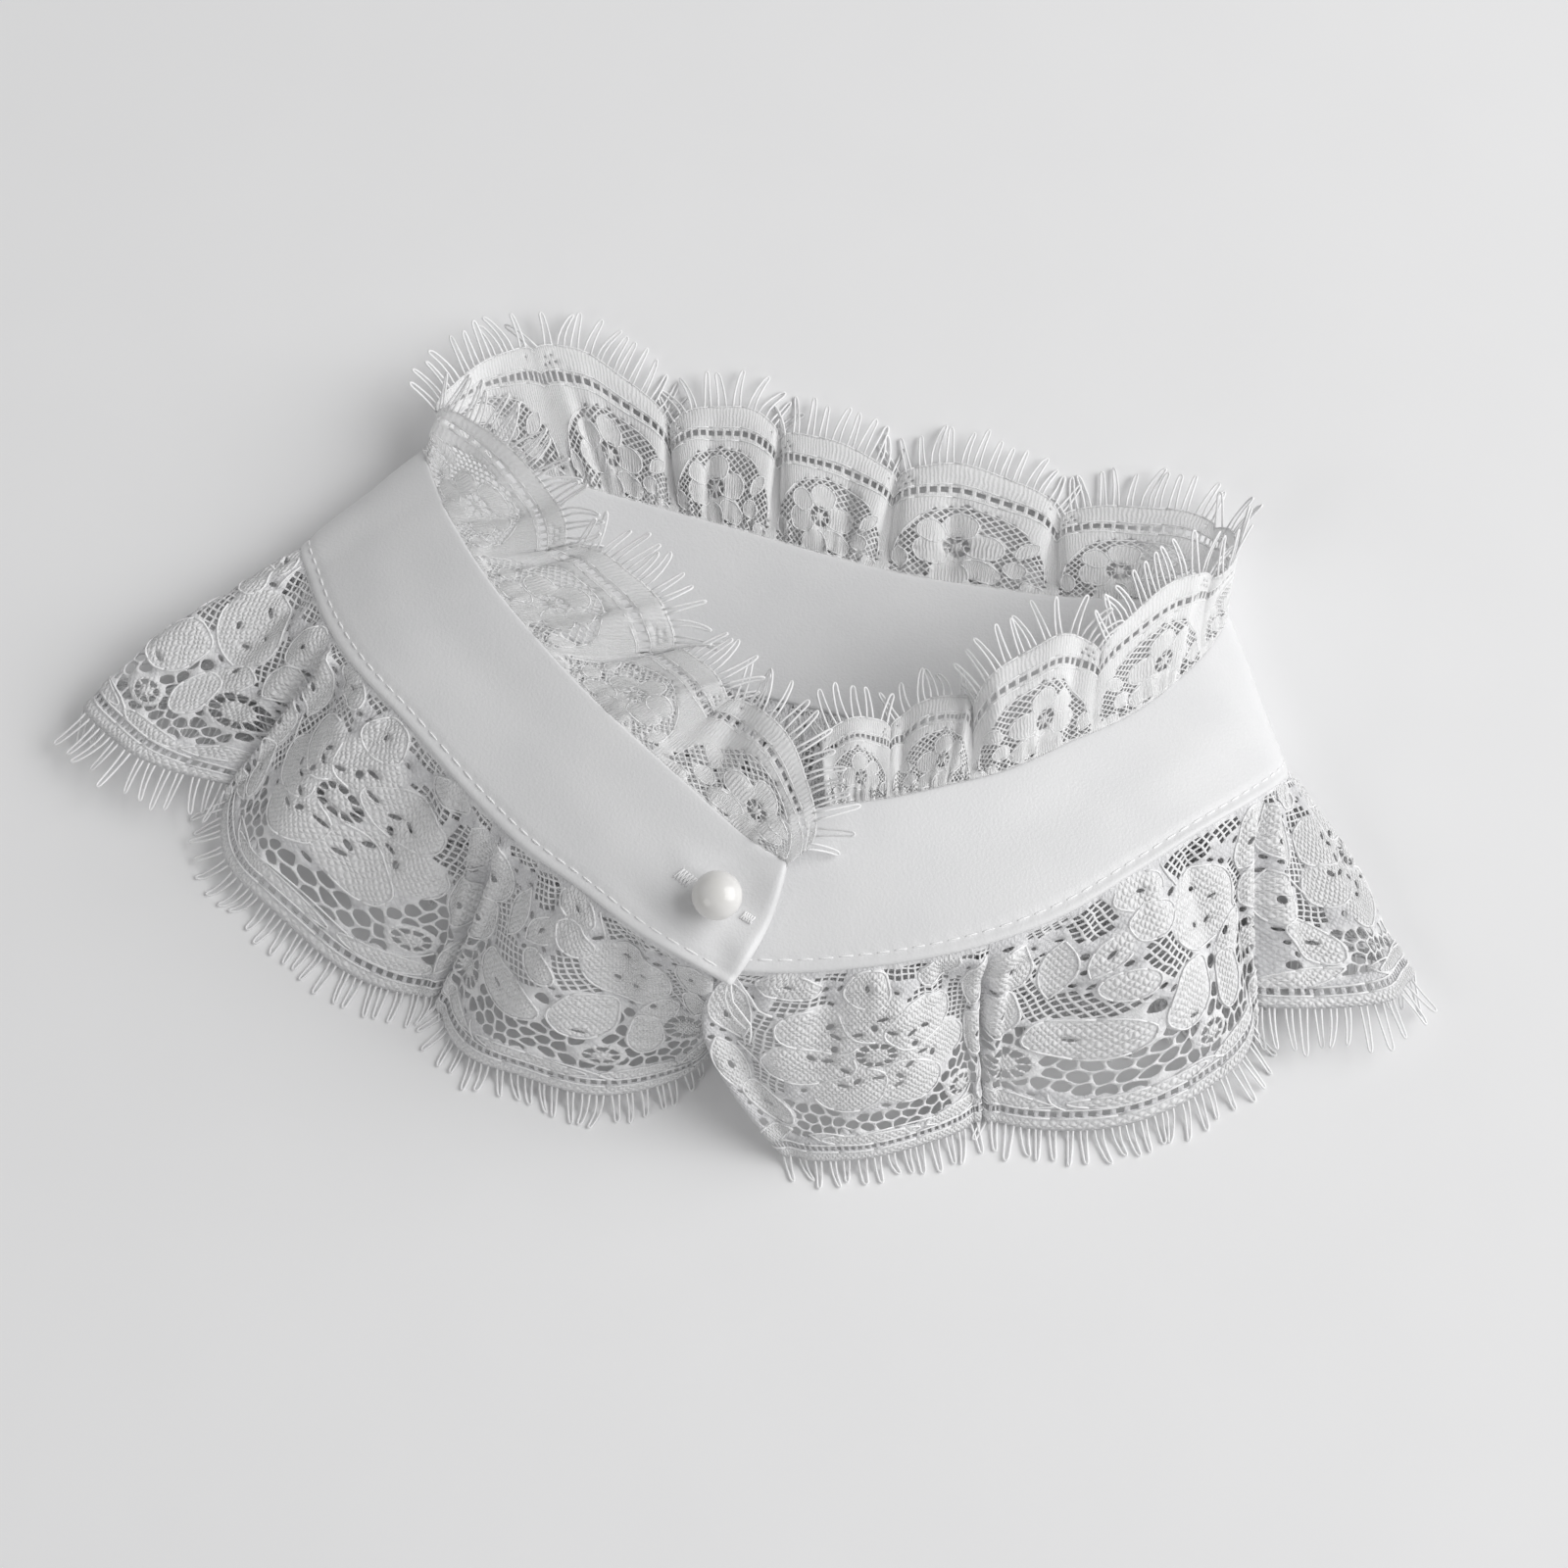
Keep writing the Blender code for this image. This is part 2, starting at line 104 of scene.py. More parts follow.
back = direction(CAMERA_TURN, CAMERA_HEIGHT)
bpy.ops.object.camera_add(location=LOOK_AT + back * CAMERA_AWAY)
camera = bpy.context.object
camera.name = "camera"
camera.rotation_euler = (-back).to_track_quat("-Z", "Y").to_euler()
camera.data.lens = 85
camera.data.sensor_width = 36
bpy.context.scene.camera = camera
add_lamp("key", KEY_PLACE, 1.9, KEY_POWER)
add_lamp("fill", FILL_PLACE, 0.9, FILL_POWER)

sky = bpy.data.worlds.new("studio")
bpy.context.scene.world = sky
sky.use_nodes = True
sky.node_tree.nodes["Background"].inputs["Color"].default_value = (1.0, 1.0, 1.0, 1.0)
sky.node_tree.nodes["Background"].inputs["Strength"].default_value = SKY_STRENGTH
bpy.context.scene.view_settings.view_transform = "Standard"

bpy.ops.mesh.primitive_plane_add(size=FLOOR_SIZE, location=(0, 0, -0.0002))
floor = bpy.context.object
floor.name = "floor"
floor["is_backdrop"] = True
print("camera at", [round(v, 4) for v in camera.location])

# %% [markdown]
# ## Materials
# White on white lives from small differences. The satin is smooth, with a low sheen and a fine
# grain. The lace is matt cotton: its dense clothwork is covered with small raised dots, and its
# colour is painted darker in the gaps between the dots as shade. Both patterns follow the cloth,
# so the lace reads its own map, in tenths of a metre.


# %% Helpers for materials
def new_material(name, colour, roughness, **sockets):
    """A Principled material. Returns its node tree and its shader."""
    material = bpy.data.materials.new(name)
    material.use_nodes = True
    tree = material.node_tree
    shader = tree.nodes["Principled BSDF"]
    shader.inputs["Base Color"].default_value = (*colour, 1.0)
    shader.inputs["Roughness"].default_value = roughness
    for socket, value in sockets.items():
        shader.inputs[socket.replace("_", " ")].default_value = value
    return material, tree, shader


def add_node(tree, kind, **values):
    """A node with some of its input sockets or properties set."""
    node = tree.nodes.new(kind)
    for key, value in values.items():
        if key in node.inputs:
            node.inputs[key].default_value = value
        else:
            setattr(node, key, value)
    return node


def ramp_colours(tree, factor, stops):
    """A colour ramp from a factor, with stops given as (position, grey or colour)."""
    ramp = add_node(tree, "ShaderNodeValToRGB")
    tree.links.new(factor, ramp.inputs["Fac"])
    for k, (position, colour) in enumerate(stops):
        stop = ramp.color_ramp.elements[k] if k < 2 else ramp.color_ramp.elements.new(position)
        stop.position = position
        stop.color = (*colour, 1.0)
    return ramp.outputs["Color"]


def add_bump(tree, shader, height, distance, strength=1.0, below=None):
    """A bump of that height in metres, on top of another bump's normal if one is given."""
    bump = add_node(tree, "ShaderNodeBump", Strength=strength, Distance=distance)
    tree.links.new(height, bump.inputs["Height"])
    if below is not None:
        tree.links.new(below, bump.inputs["Normal"])
    tree.links.new(bump.outputs["Normal"], shader.inputs["Normal"])
    return bump.outputs["Normal"]


def math_node(tree, operation, first, second):
    """A math node on two sockets or numbers."""
    node = add_node(tree, "ShaderNodeMath", operation=operation)
    for slot, value in enumerate((first, second)):
        if isinstance(value, (int, float)):
            node.inputs[slot].default_value = value
        else:
            tree.links.new(value, node.inputs[slot])
    return node.outputs["Value"]


# %% Satin, lace, thread, pearl and floor
def make_satin():
    """White satin: a low sheen, faint cloudy tone and a fine grain."""
    material, tree, shader = new_material("satin", (0.8, 0.8, 0.81), 0.42,
                                          Sheen_Weight=0.25, Sheen_Roughness=0.4)
    place = add_node(tree, "ShaderNodeTexCoord").outputs["Object"]
    cloud = add_node(tree, "ShaderNodeTexNoise", Scale=55.0, Detail=2.0)
    tree.links.new(place, cloud.inputs["Vector"])
    tone = ramp_colours(tree, cloud.outputs["Fac"],
                        [(0.3, (0.775, 0.777, 0.785)), (0.7, (0.815, 0.815, 0.82))])
    tree.links.new(tone, shader.inputs["Base Color"])
    grain = add_node(tree, "ShaderNodeTexNoise", Scale=1700.0, Detail=2.0)
    tree.links.new(place, grain.inputs["Vector"])
    add_bump(tree, shader, grain.outputs["Fac"], 0.00012, 0.6)
    return material


UNEVEN_WEAVE = 7.0
DOT_BREADTH = 0.6


def make_lace_cloth(name, ways, ground_and_dot_shade, strength, through):
    """Matt white cotton lace, with a raised weave and painted shade between its dots: waves along two
    ways, as shares of x and y.
    """
    material, tree, shader = new_material(name, (0.88, 0.88, 0.885), 0.8, Sheen_Weight=0.1,
                                          Subsurface_Weight=through, Subsurface_Scale=0.0012,
                                          Subsurface_Radius=(1.0, 1.0, 1.0))
    weave = add_node(tree, "ShaderNodeUVMap", uv_map="lace").outputs["UV"]
    split = add_node(tree, "ShaderNodeSeparateXYZ")
    tree.links.new(weave, split.inputs["Vector"])
    drift = add_node(tree, "ShaderNodeTexNoise", Scale=45.0, Detail=1.0)
    tree.links.new(weave, drift.inputs["Vector"])
    uneven = math_node(tree, "MULTIPLY", drift.outputs["Fac"], UNEVEN_WEAVE)
    waves = []
    for share_x, share_y in ways:
        way = math_node(tree, "ADD", math_node(tree, "MULTIPLY", split.outputs["X"], share_x),
                        math_node(tree, "MULTIPLY", split.outputs["Y"], share_y))
        wave = math_node(tree, "SINE", math_node(tree, "ADD", way, uneven), 0.0)
        waves.append(math_node(tree, "ADD", math_node(tree, "MULTIPLY", wave, 0.5), 0.5))
    dots = math_node(tree, "MULTIPLY", waves[0], waves[1])
    dots = math_node(tree, "POWER", dots, DOT_BREADTH)
    dense = add_node(tree, "ShaderNodeAttribute", attribute_name="clothwork").outputs["Fac"]
    relief = math_node(tree, "MULTIPLY", dots, dense)
    pale = add_node(tree, "ShaderNodeAttribute", attribute_name="pale").outputs["Fac"]
    # Colour: paler on the motifs and nets, lighter on each raised dot, and painted shade in the gaps
    # between the dots.
    tone_and_dot_shade = math_node(tree, "ADD", math_node(tree, "MULTIPLY", pale, 0.6),
                    math_node(tree, "MULTIPLY", relief, 0.9))
    tone = ramp_colours(tree, tone_and_dot_shade, [(0.05, ground_and_dot_shade), (0.95, (0.985, 0.985, 0.99))])
    tree.links.new(tone, shader.inputs["Base Color"])
    place = add_node(tree, "ShaderNodeTexCoord").outputs["Object"]
    fibre = add_node(tree, "ShaderNodeTexNoise", Scale=2200.0, Detail=2.0)
    tree.links.new(place, fibre.inputs["Vector"])
    height = math_node(tree, "ADD", relief, math_node(tree, "MULTIPLY", fibre.outputs["Fac"], 0.4))
    add_bump(tree, shader, height, 0.0004, strength)
    return material


def make_thread(name, tone):
    """Smooth white thread with a fine twist."""
    material, tree, shader = new_material(name, tone, 0.6, Sheen_Weight=0.2)
    place = add_node(tree, "ShaderNodeTexCoord").outputs["Object"]
    twist = add_node(tree, "ShaderNodeTexNoise", Scale=2600.0, Detail=1.0)
    tree.links.new(place, twist.inputs["Vector"])
    shade = ramp_colours(tree, twist.outputs["Fac"],
                         [(0.35, tuple(v * 0.93 for v in tone)), (0.65, tone)])
    tree.links.new(shade, shader.inputs["Base Color"])
    add_bump(tree, shader, twist.outputs["Fac"], 0.00008, 0.6)
    return material


def make_pearl():
    """A pearl: a warm white body under a clear gloss."""
    material, tree, shader = new_material("pearl", (0.8, 0.79, 0.77), 0.3, Coat_Weight=0.5,
                                          Coat_Roughness=0.12, Sheen_Weight=0.2)
    place = add_node(tree, "ShaderNodeTexCoord").outputs["Object"]
    cloud = add_node(tree, "ShaderNodeTexNoise", Scale=260.0, Detail=2.0)
    tree.links.new(place, cloud.inputs["Vector"])
    tone = ramp_colours(tree, cloud.outputs["Fac"],
                        [(0.35, (0.78, 0.77, 0.745)), (0.65, (0.82, 0.81, 0.795))])
    tree.links.new(tone, shader.inputs["Base Color"])
    return material


def make_floor():
    """A plain pale table."""
    material, tree, shader = new_material("floor", (0.89, 0.89, 0.89), 0.9)
    place = add_node(tree, "ShaderNodeTexCoord").outputs["Object"]
    speck = add_node(tree, "ShaderNodeTexNoise", Scale=30.0)
    tree.links.new(place, speck.inputs["Vector"])
    tone = ramp_colours(tree, speck.outputs["Fac"],
                        [(0.3, (0.885, 0.885, 0.89)), (0.7, (0.895, 0.895, 0.9))])
    tree.links.new(tone, shader.inputs["Base Color"])
    return material


SATIN = make_satin()
# The third value is the darkest tone: thin ground clothwork, and painted shade between the dots.
LACE = make_lace_cloth("lace", [(640.0, 370.0), (-640.0, 370.0)], (0.7, 0.7, 0.715), 1.0, 0.3)
RIBBED_LACE = make_lace_cloth("ribbed_lace", [(1050.0, 40.0), (1050.0, -40.0)],
                              (0.88, 0.88, 0.885), 0.7, 0.8)
THREAD = make_thread("thread", (0.98, 0.98, 0.985))
PEARL = make_pearl()
floor.data.materials.append(make_floor())
print("materials:", [m.name for m in (SATIN, LACE, RIBBED_LACE, THREAD, PEARL)])

# %% [markdown]
# ## The form of the collar
# The band is a strip that starts at the right end, runs round the back and ends over its own
# start. Each lace is a strip between the band's edge and its own scalloped edge. The tables give
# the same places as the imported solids, in millimetres, and a smooth curve joins them.

# %% The band's and the lace's tables
BOX_MIDDLE = np.array([-0.5, -48.4, 0.0]) * MM
BAND_WALL = 1.6 * MM
LACE_WALL = 1.0 * MM
GAP = 0.3 * MM
BAND_COLUMNS = "neck_x neck_y neck_z low_x low_y low_z"
BAND_ROWS = [
    (-12.5, -71.5, 41.0, -15.5, -96.5, 39.3), (-2.0, -73.5, 41.3, -1.5, -103.0, 39.8),
    (7.5, -69.5, 41.5, 12.5, -101.5, 40.0), (17.0, -65.5, 41.5, 28.0, -97.0, 40.2),
    (26.0, -62.0, 41.0, 38.5, -93.0, 40.0), (39.5, -55.0, 39.0, 54.5, -85.0, 39.0),
    (49.0, -49.5, 37.0, 66.0, -77.0, 37.5), (62.5, -38.0, 32.5, 81.0, -62.0, 34.0),
    (72.0, -29.5, 28.0, 91.0, -51.0, 30.5), (80.5, -18.5, 22.5, 101.5, -39.5, 24.0),
    (87.0, -6.5, 16.5, 107.5, -31.5, 17.0), (89.5, 3.0, 11.0, 108.5, -27.5, 11.0),
    (87.5, 7.0, 5.5, 106.5, -24.5, 5.5), (80.0, 7.5, 1.9, 98.5, -24.0, 1.9),
    (70.0, 6.0, 0.8, 87.0, -26.0, 0.8), (53.0, 3.0, 0.8, 65.0, -30.5, 0.8),
    (35.0, 1.3, 0.8, 43.0, -32.5, 0.8), (18.0, 0.3, 0.8, 21.5, -33.5, 0.8),
    (0.0, 0.8, 0.8, 0.0, -33.5, 0.8), (-18.0, 2.0, 0.8, -21.5, -32.5, 0.8),
    (-35.0, 3.0, 0.8, -43.0, -31.0, 0.8), (-53.0, 4.0, 0.8, -65.0, -28.5, 0.8),
    (-70.0, 5.5, 0.8, -88.0, -25.0, 0.8), (-80.5, 6.5, 1.9, -99.5, -22.5, 1.9),
    (-88.5, 5.5, 5.5, -109.0, -22.5, 5.5), (-91.0, 1.5, 11.5, -111.5, -26.0, 11.5),
    (-84.5, -11.0, 19.0, -107.0, -34.5, 17.0), (-77.0, -20.5, 24.0, -100.5, -44.0, 22.0),
    (-67.5, -30.5, 29.0, -91.5, -53.5, 27.5), (-54.0, -42.0, 34.0, -76.0, -65.0, 32.5),
    (-40.0, -52.5, 38.0, -56.5, -79.5, 36.5), (-27.5, -60.5, 40.5, -44.0, -87.5, 39.0),
    (-15.0, -68.0, 42.5, -31.0, -93.5, 41.0), (-1.5, -76.0, 44.0, -16.0, -100.5, 42.7),
    (10.0, -80.5, 44.5, 4.5, -107.0, 43.2),
]
LACE_COLUMNS = "station joint_x joint_y joint_z tip_x tip_y tip_z fold flat"
LOWER_ROWS = [
    (1.3, 21.0, -132.0, 2.5, 40.0, -128.5, 3.5, 0.0, 1.0),
    (5.0, 60.5, -114.5, 0.8, 103.0, -102.0, 4.0, 8.0, 1.4),
    (9.3, 113.5, -79.0, 6.5, 145.5, -66.0, 6.0, 6.0, 1.0),
    (13.6, 112.0, -64.0, 0.5, 86.0, -85.0, 0.5, 1.5, 1.0),
    (15.8, 57.0, -81.0, 0.5, 28.0, -91.0, 0.5, 4.0, 1.0),
    (18.0, 0.0, -83.0, 0.5, -28.0, -91.0, 0.5, 4.0, 1.0),
    (20.2, -57.0, -81.0, 0.5, -88.0, -84.0, 0.5, 4.0, 1.0),
    (22.6, -116.0, -64.0, 0.5, -148.0, -72.0, 6.5, 1.5, 1.0),
    (27.4, -113.5, -81.0, 8.0, -104.0, -103.0, 4.0, 6.5, 1.2),
    (30.4, -59.5, -115.0, 0.8, -31.0, -129.5, 4.0, 8.0, 0.95),
    (33.8, 0.5, -113.5, 5.0, 0.0, 0.0, 0.0, 0.0, 1.0),
]
UPPER_ROWS = [
    (2.8, 10.5, -51.0, 35.0, 16.0, -43.5, 34.0, 0.0, 1.0),
    (4.1, 24.0, -43.5, 31.0, 34.5, -33.0, 31.0, 1.5, 1.0),
    (5.4, 41.0, -37.0, 34.0, 51.0, -19.5, 39.0, 2.5, 1.0),
    (7.4, 64.5, -18.0, 34.0, 74.0, 0.5, 31.0, 2.5, 1.0),
    (9.8, 84.5, 8.0, 22.5, 88.5, 19.5, 15.5, 2.0, 1.0),
    (12.4, 83.5, 25.0, 7.0, 66.5, 28.0, 3.0, 1.5, 1.0),
    (15.1, 49.0, 21.5, 0.5, 28.5, 28.5, 3.0, 2.5, 1.0),
    (17.3, 11.5, 22.0, 0.5, -4.0, 27.5, 3.0, 2.5, 1.0),
    (18.7, -16.5, 26.0, 0.5, -30.0, 30.5, 3.0, 2.5, 1.0),
    (20.0, -41.0, 21.5, 0.5, -58.5, 34.0, 3.0, 2.5, 1.0),
    (21.3, -75.0, 33.0, 4.5, -85.0, 25.5, 9.0, 1.5, 1.0),
    (25.0, -91.0, 10.0, 14.5, -61.5, -5.5, 30.0, 1.5, 1.0),
    (27.3, -53.5, -19.5, 31.0, -36.0, -24.0, 37.0, 2.5, 1.0),
    (29.2, -24.5, -38.5, 38.0, -15.0, -42.5, 43.0, 2.5, 1.0),
    (31.4, -10.5, -48.0, 42.0, 7.0, -57.5, 47.0, 2.5, 1.0),
    (34.0, 13.0, -77.0, 46.0, 0.0, 0.0, 0.0, 0.0, 1.0),
]


# %% Curves through the tables
def table(columns, rows):
    """The named columns of a table, each as an array."""
    return dict(zip(columns.split(), np.array(rows, dtype=float).T))


def points_of(columns, prefix):
    """The points in metres that three columns of a table hold."""
    points = np.stack([columns[prefix + axis] for axis in ("_x", "_y", "_z")], axis=1) * MM
    return points - BOX_MIDDLE


def unit(vectors):
    """The same directions, each one unit long."""
    return vectors / np.linalg.norm(vectors, axis=-1, keepdims=True)


def curve(points, run, at):
    """A smooth curve through the points, read at distances along its run."""
    slope = np.gradient(points, run, axis=0)
    i = np.clip(np.searchsorted(run, at, side="right") - 1, 0, len(run) - 2)
    step = (run[i + 1] - run[i])[:, None]
    t = (at - run[i])[:, None] / step
    start = (1 + 2 * t) * (1 - t) ** 2 * points[i] + t * (1 - t) ** 2 * step * slope[i]
    end = t ** 2 * (3 - 2 * t) * points[i + 1] + t ** 2 * (t - 1) * step * slope[i + 1]
    return start + end


BAND = table(BAND_COLUMNS, BAND_ROWS)
NECK = points_of(BAND, "neck")
LOW = points_of(BAND, "low")
MIDDLE_STEPS = np.linalg.norm(np.diff((NECK + LOW) / 2, axis=0), axis=1)
BAND_RUN = np.concatenate([[0.0], np.cumsum(MIDDLE_STEPS)])
BAND_WIDTH = 34.0 * MM


def run_at(station):
    """The distance along the band's middle at a station, which may be a fraction."""
    return np.interp(station, np.arange(len(BAND_RUN)), BAND_RUN)


def band_frame(run, across):
    """Points on the band, their outward normals and the way along, for arrays of places."""
    share = np.broadcast_to(across, run.shape)[:, None]
    neck, low = curve(NECK, BAND_RUN, run), curve(LOW, BAND_RUN, run)
    ahead = np.minimum(run + MM, BAND_RUN[-1])
    behind = ahead - 2 * MM
    point = neck + (low - neck) * share
    point[:, 2] = np.maximum(point[:, 2], BAND_WALL / 2)
    along = unit((curve(NECK, BAND_RUN, ahead) - curve(NECK, BAND_RUN, behind)) * (1 - share)
                 + (curve(LOW, BAND_RUN, ahead) - curve(LOW, BAND_RUN, behind)) * share)
    return point, unit(np.cross(low - neck, along)), along


print(f"the band is {BAND_RUN[-1] / MM:.0f} mm long at its middle")

# %% [markdown]
# A gathered lace is never smooth. Its large folds sit where two scallops meet, and smaller
# creases run down from the seam, each with its own length and depth. They are listed in a table
# and pressed into the sheet as soft troughs, or ridges where the depth is negative.

# %% The draped lace
CREASE_COLUMNS = "s w reach_s reach_w depth lean"
LOWER_CREASES = [
    (0.12, 0.45, 0.07, 0.50, 2.2, 0.10), (0.38, 0.20, 0.06, 0.30, 1.2, -0.1),
    (0.62, 0.35, 0.08, 0.35, -1.0, 0.12), (0.80, 0.15, 0.06, 0.30, 1.1, 0.0),
    (1.22, 0.25, 0.07, 0.35, 1.6, 0.10), (1.45, 0.50, 0.09, 0.40, -1.2, -0.1),
    (1.68, 0.30, 0.07, 0.40, 1.7, 0.08), (1.86, 0.60, 0.06, 0.35, 1.0, 0.0),
    (2.25, 0.30, 0.08, 0.40, 1.5, -0.1), (2.55, 0.45, 0.08, 0.30, -1.1, 0.1),
    (2.75, 0.25, 0.06, 0.30, 1.2, 0.0), (3.40, 0.30, 0.08, 0.40, 0.8, 0.1),
    (4.60, 0.40, 0.08, 0.40, 0.8, -0.1), (5.35, 0.35, 0.08, 0.40, 0.8, 0.1),
    (6.50, 0.30, 0.08, 0.40, 0.8, 0.0), (7.25, 0.35, 0.08, 0.40, 1.6, 0.1),
    (7.50, 0.60, 0.07, 0.35, -1.2, -0.1), (7.72, 0.30, 0.07, 0.35, 1.5, 0.1),
    (8.20, 0.25, 0.06, 0.35, 1.3, 0.1), (8.42, 0.45, 0.08, 0.40, -1.4, 0.1),
    (8.66, 0.30, 0.07, 0.40, 1.8, -0.1), (8.85, 0.20, 0.05, 0.25, 1.0, 0.0),
    (9.20, 0.30, 0.07, 0.35, 1.6, -0.1), (9.42, 0.50, 0.09, 0.40, -1.6, -0.2),
    (9.65, 0.35, 0.07, 0.40, 1.7, -0.1), (9.85, 0.25, 0.06, 0.30, 1.1, 0.0),
    (0.93, 0.50, 0.035, 0.60, -2.2, 0.0), (1.06, 0.50, 0.03, 0.60, -2.4, 0.03),
    (1.92, 0.40, 0.035, 0.50, -1.8, 0.0), (2.08, 0.45, 0.035, 0.50, -2.2, 0.0),
    (7.93, 0.45, 0.035, 0.50, -1.8, 0.02), (8.07, 0.50, 0.035, 0.60, -2.4, 0.0),
    (8.94, 0.50, 0.035, 0.60, -2.2, 0.0), (9.07, 0.50, 0.03, 0.60, -2.4, -0.03),
]
UPPER_CREASES = [
    (0.50, 0.30, 0.14, 0.40, 0.8, 0.0), (1.45, 0.40, 0.12, 0.40, 0.9, 0.1),
    (2.55, 0.30, 0.10, 0.40, 1.0, -0.1), (3.40, 0.35, 0.12, 0.40, 0.9, 0.1),
    (4.60, 0.40, 0.12, 0.40, 0.8, 0.0), (6.45, 0.40, 0.10, 0.30, 0.7, 0.1),
    (7.60, 0.35, 0.12, 0.40, 0.8, -0.1), (8.50, 0.40, 0.10, 0.40, 0.7, 0.1),
    (11.3, 0.35, 0.10, 0.40, 1.0, 0.1),
    (12.5, 0.40, 0.12, 0.40, 1.0, -0.1), (13.4, 0.45, 0.10, 0.40, 1.0, 0.1),
    (14.5, 0.40, 0.09, 0.45, 1.1, 0.1),
    (6.03, 0.55, 0.07, 0.60, -3.6, 0.02), (7.02, 0.55, 0.08, 0.60, -4.2, -0.02),
    (7.98, 0.55, 0.07, 0.60, -4.0, 0.03), (9.03, 0.55, 0.08, 0.60, -4.4, 0.0),
    (7.35, 0.30, 0.05, 0.35, -1.4, 0.1), (8.62, 0.35, 0.05, 0.40, -1.2, -0.1),
    (9.70, 0.30, 0.05, 0.40, -1.6, 0.1), (6.60, 0.30, 0.05, 0.35, -1.2, 0.0),
    (11.15, 0.60, 0.07, 0.50, -1.8, 0.05), (11.62, 0.60, 0.08, 0.45, 1.9, -0.05),
    (12.20, 0.60, 0.07, 0.45, 1.8, 0.1), (12.76, 0.60, 0.06, 0.50, -2.0, -0.1),
    (13.12, 0.60, 0.06, 0.50, 1.8, 0.0), (13.70, 0.60, 0.08, 0.45, -1.9, 0.1),
    (14.22, 0.60, 0.07, 0.50, 1.5, -0.1), (14.72, 0.50, 0.06, 0.50, -1.6, 0.05),
    (1.20, 0.60, 0.07, 0.45, 1.0, 0.1), (1.78, 0.60, 0.07, 0.50, -1.1, 0.0),
    (2.25, 0.60, 0.07, 0.45, -1.1, 0.1), (2.80, 0.60, 0.07, 0.50, 1.1, 0.0),
    (3.72, 0.60, 0.07, 0.50, -1.0, 0.05),
]
LOWER_BULGE = 3.5 * MM
UPPER_BULGE = 1.0 * MM
FOLD_SHARE = 0.16
GATHER_DEPTH = 1.8 * MM
GATHERS_A_SCALLOP = 2
END_SWING = 7.0 * MM
END_SWING_REACH = 0.3
END_LAP = 3.4 * MM
MOST_BEND = 0.87
HEM_WOBBLE = 0.06
CREASE_GAIN = 1.7
PUCKER_DEPTH = 0.45 * MM
PUCKER_FADE = 0.22


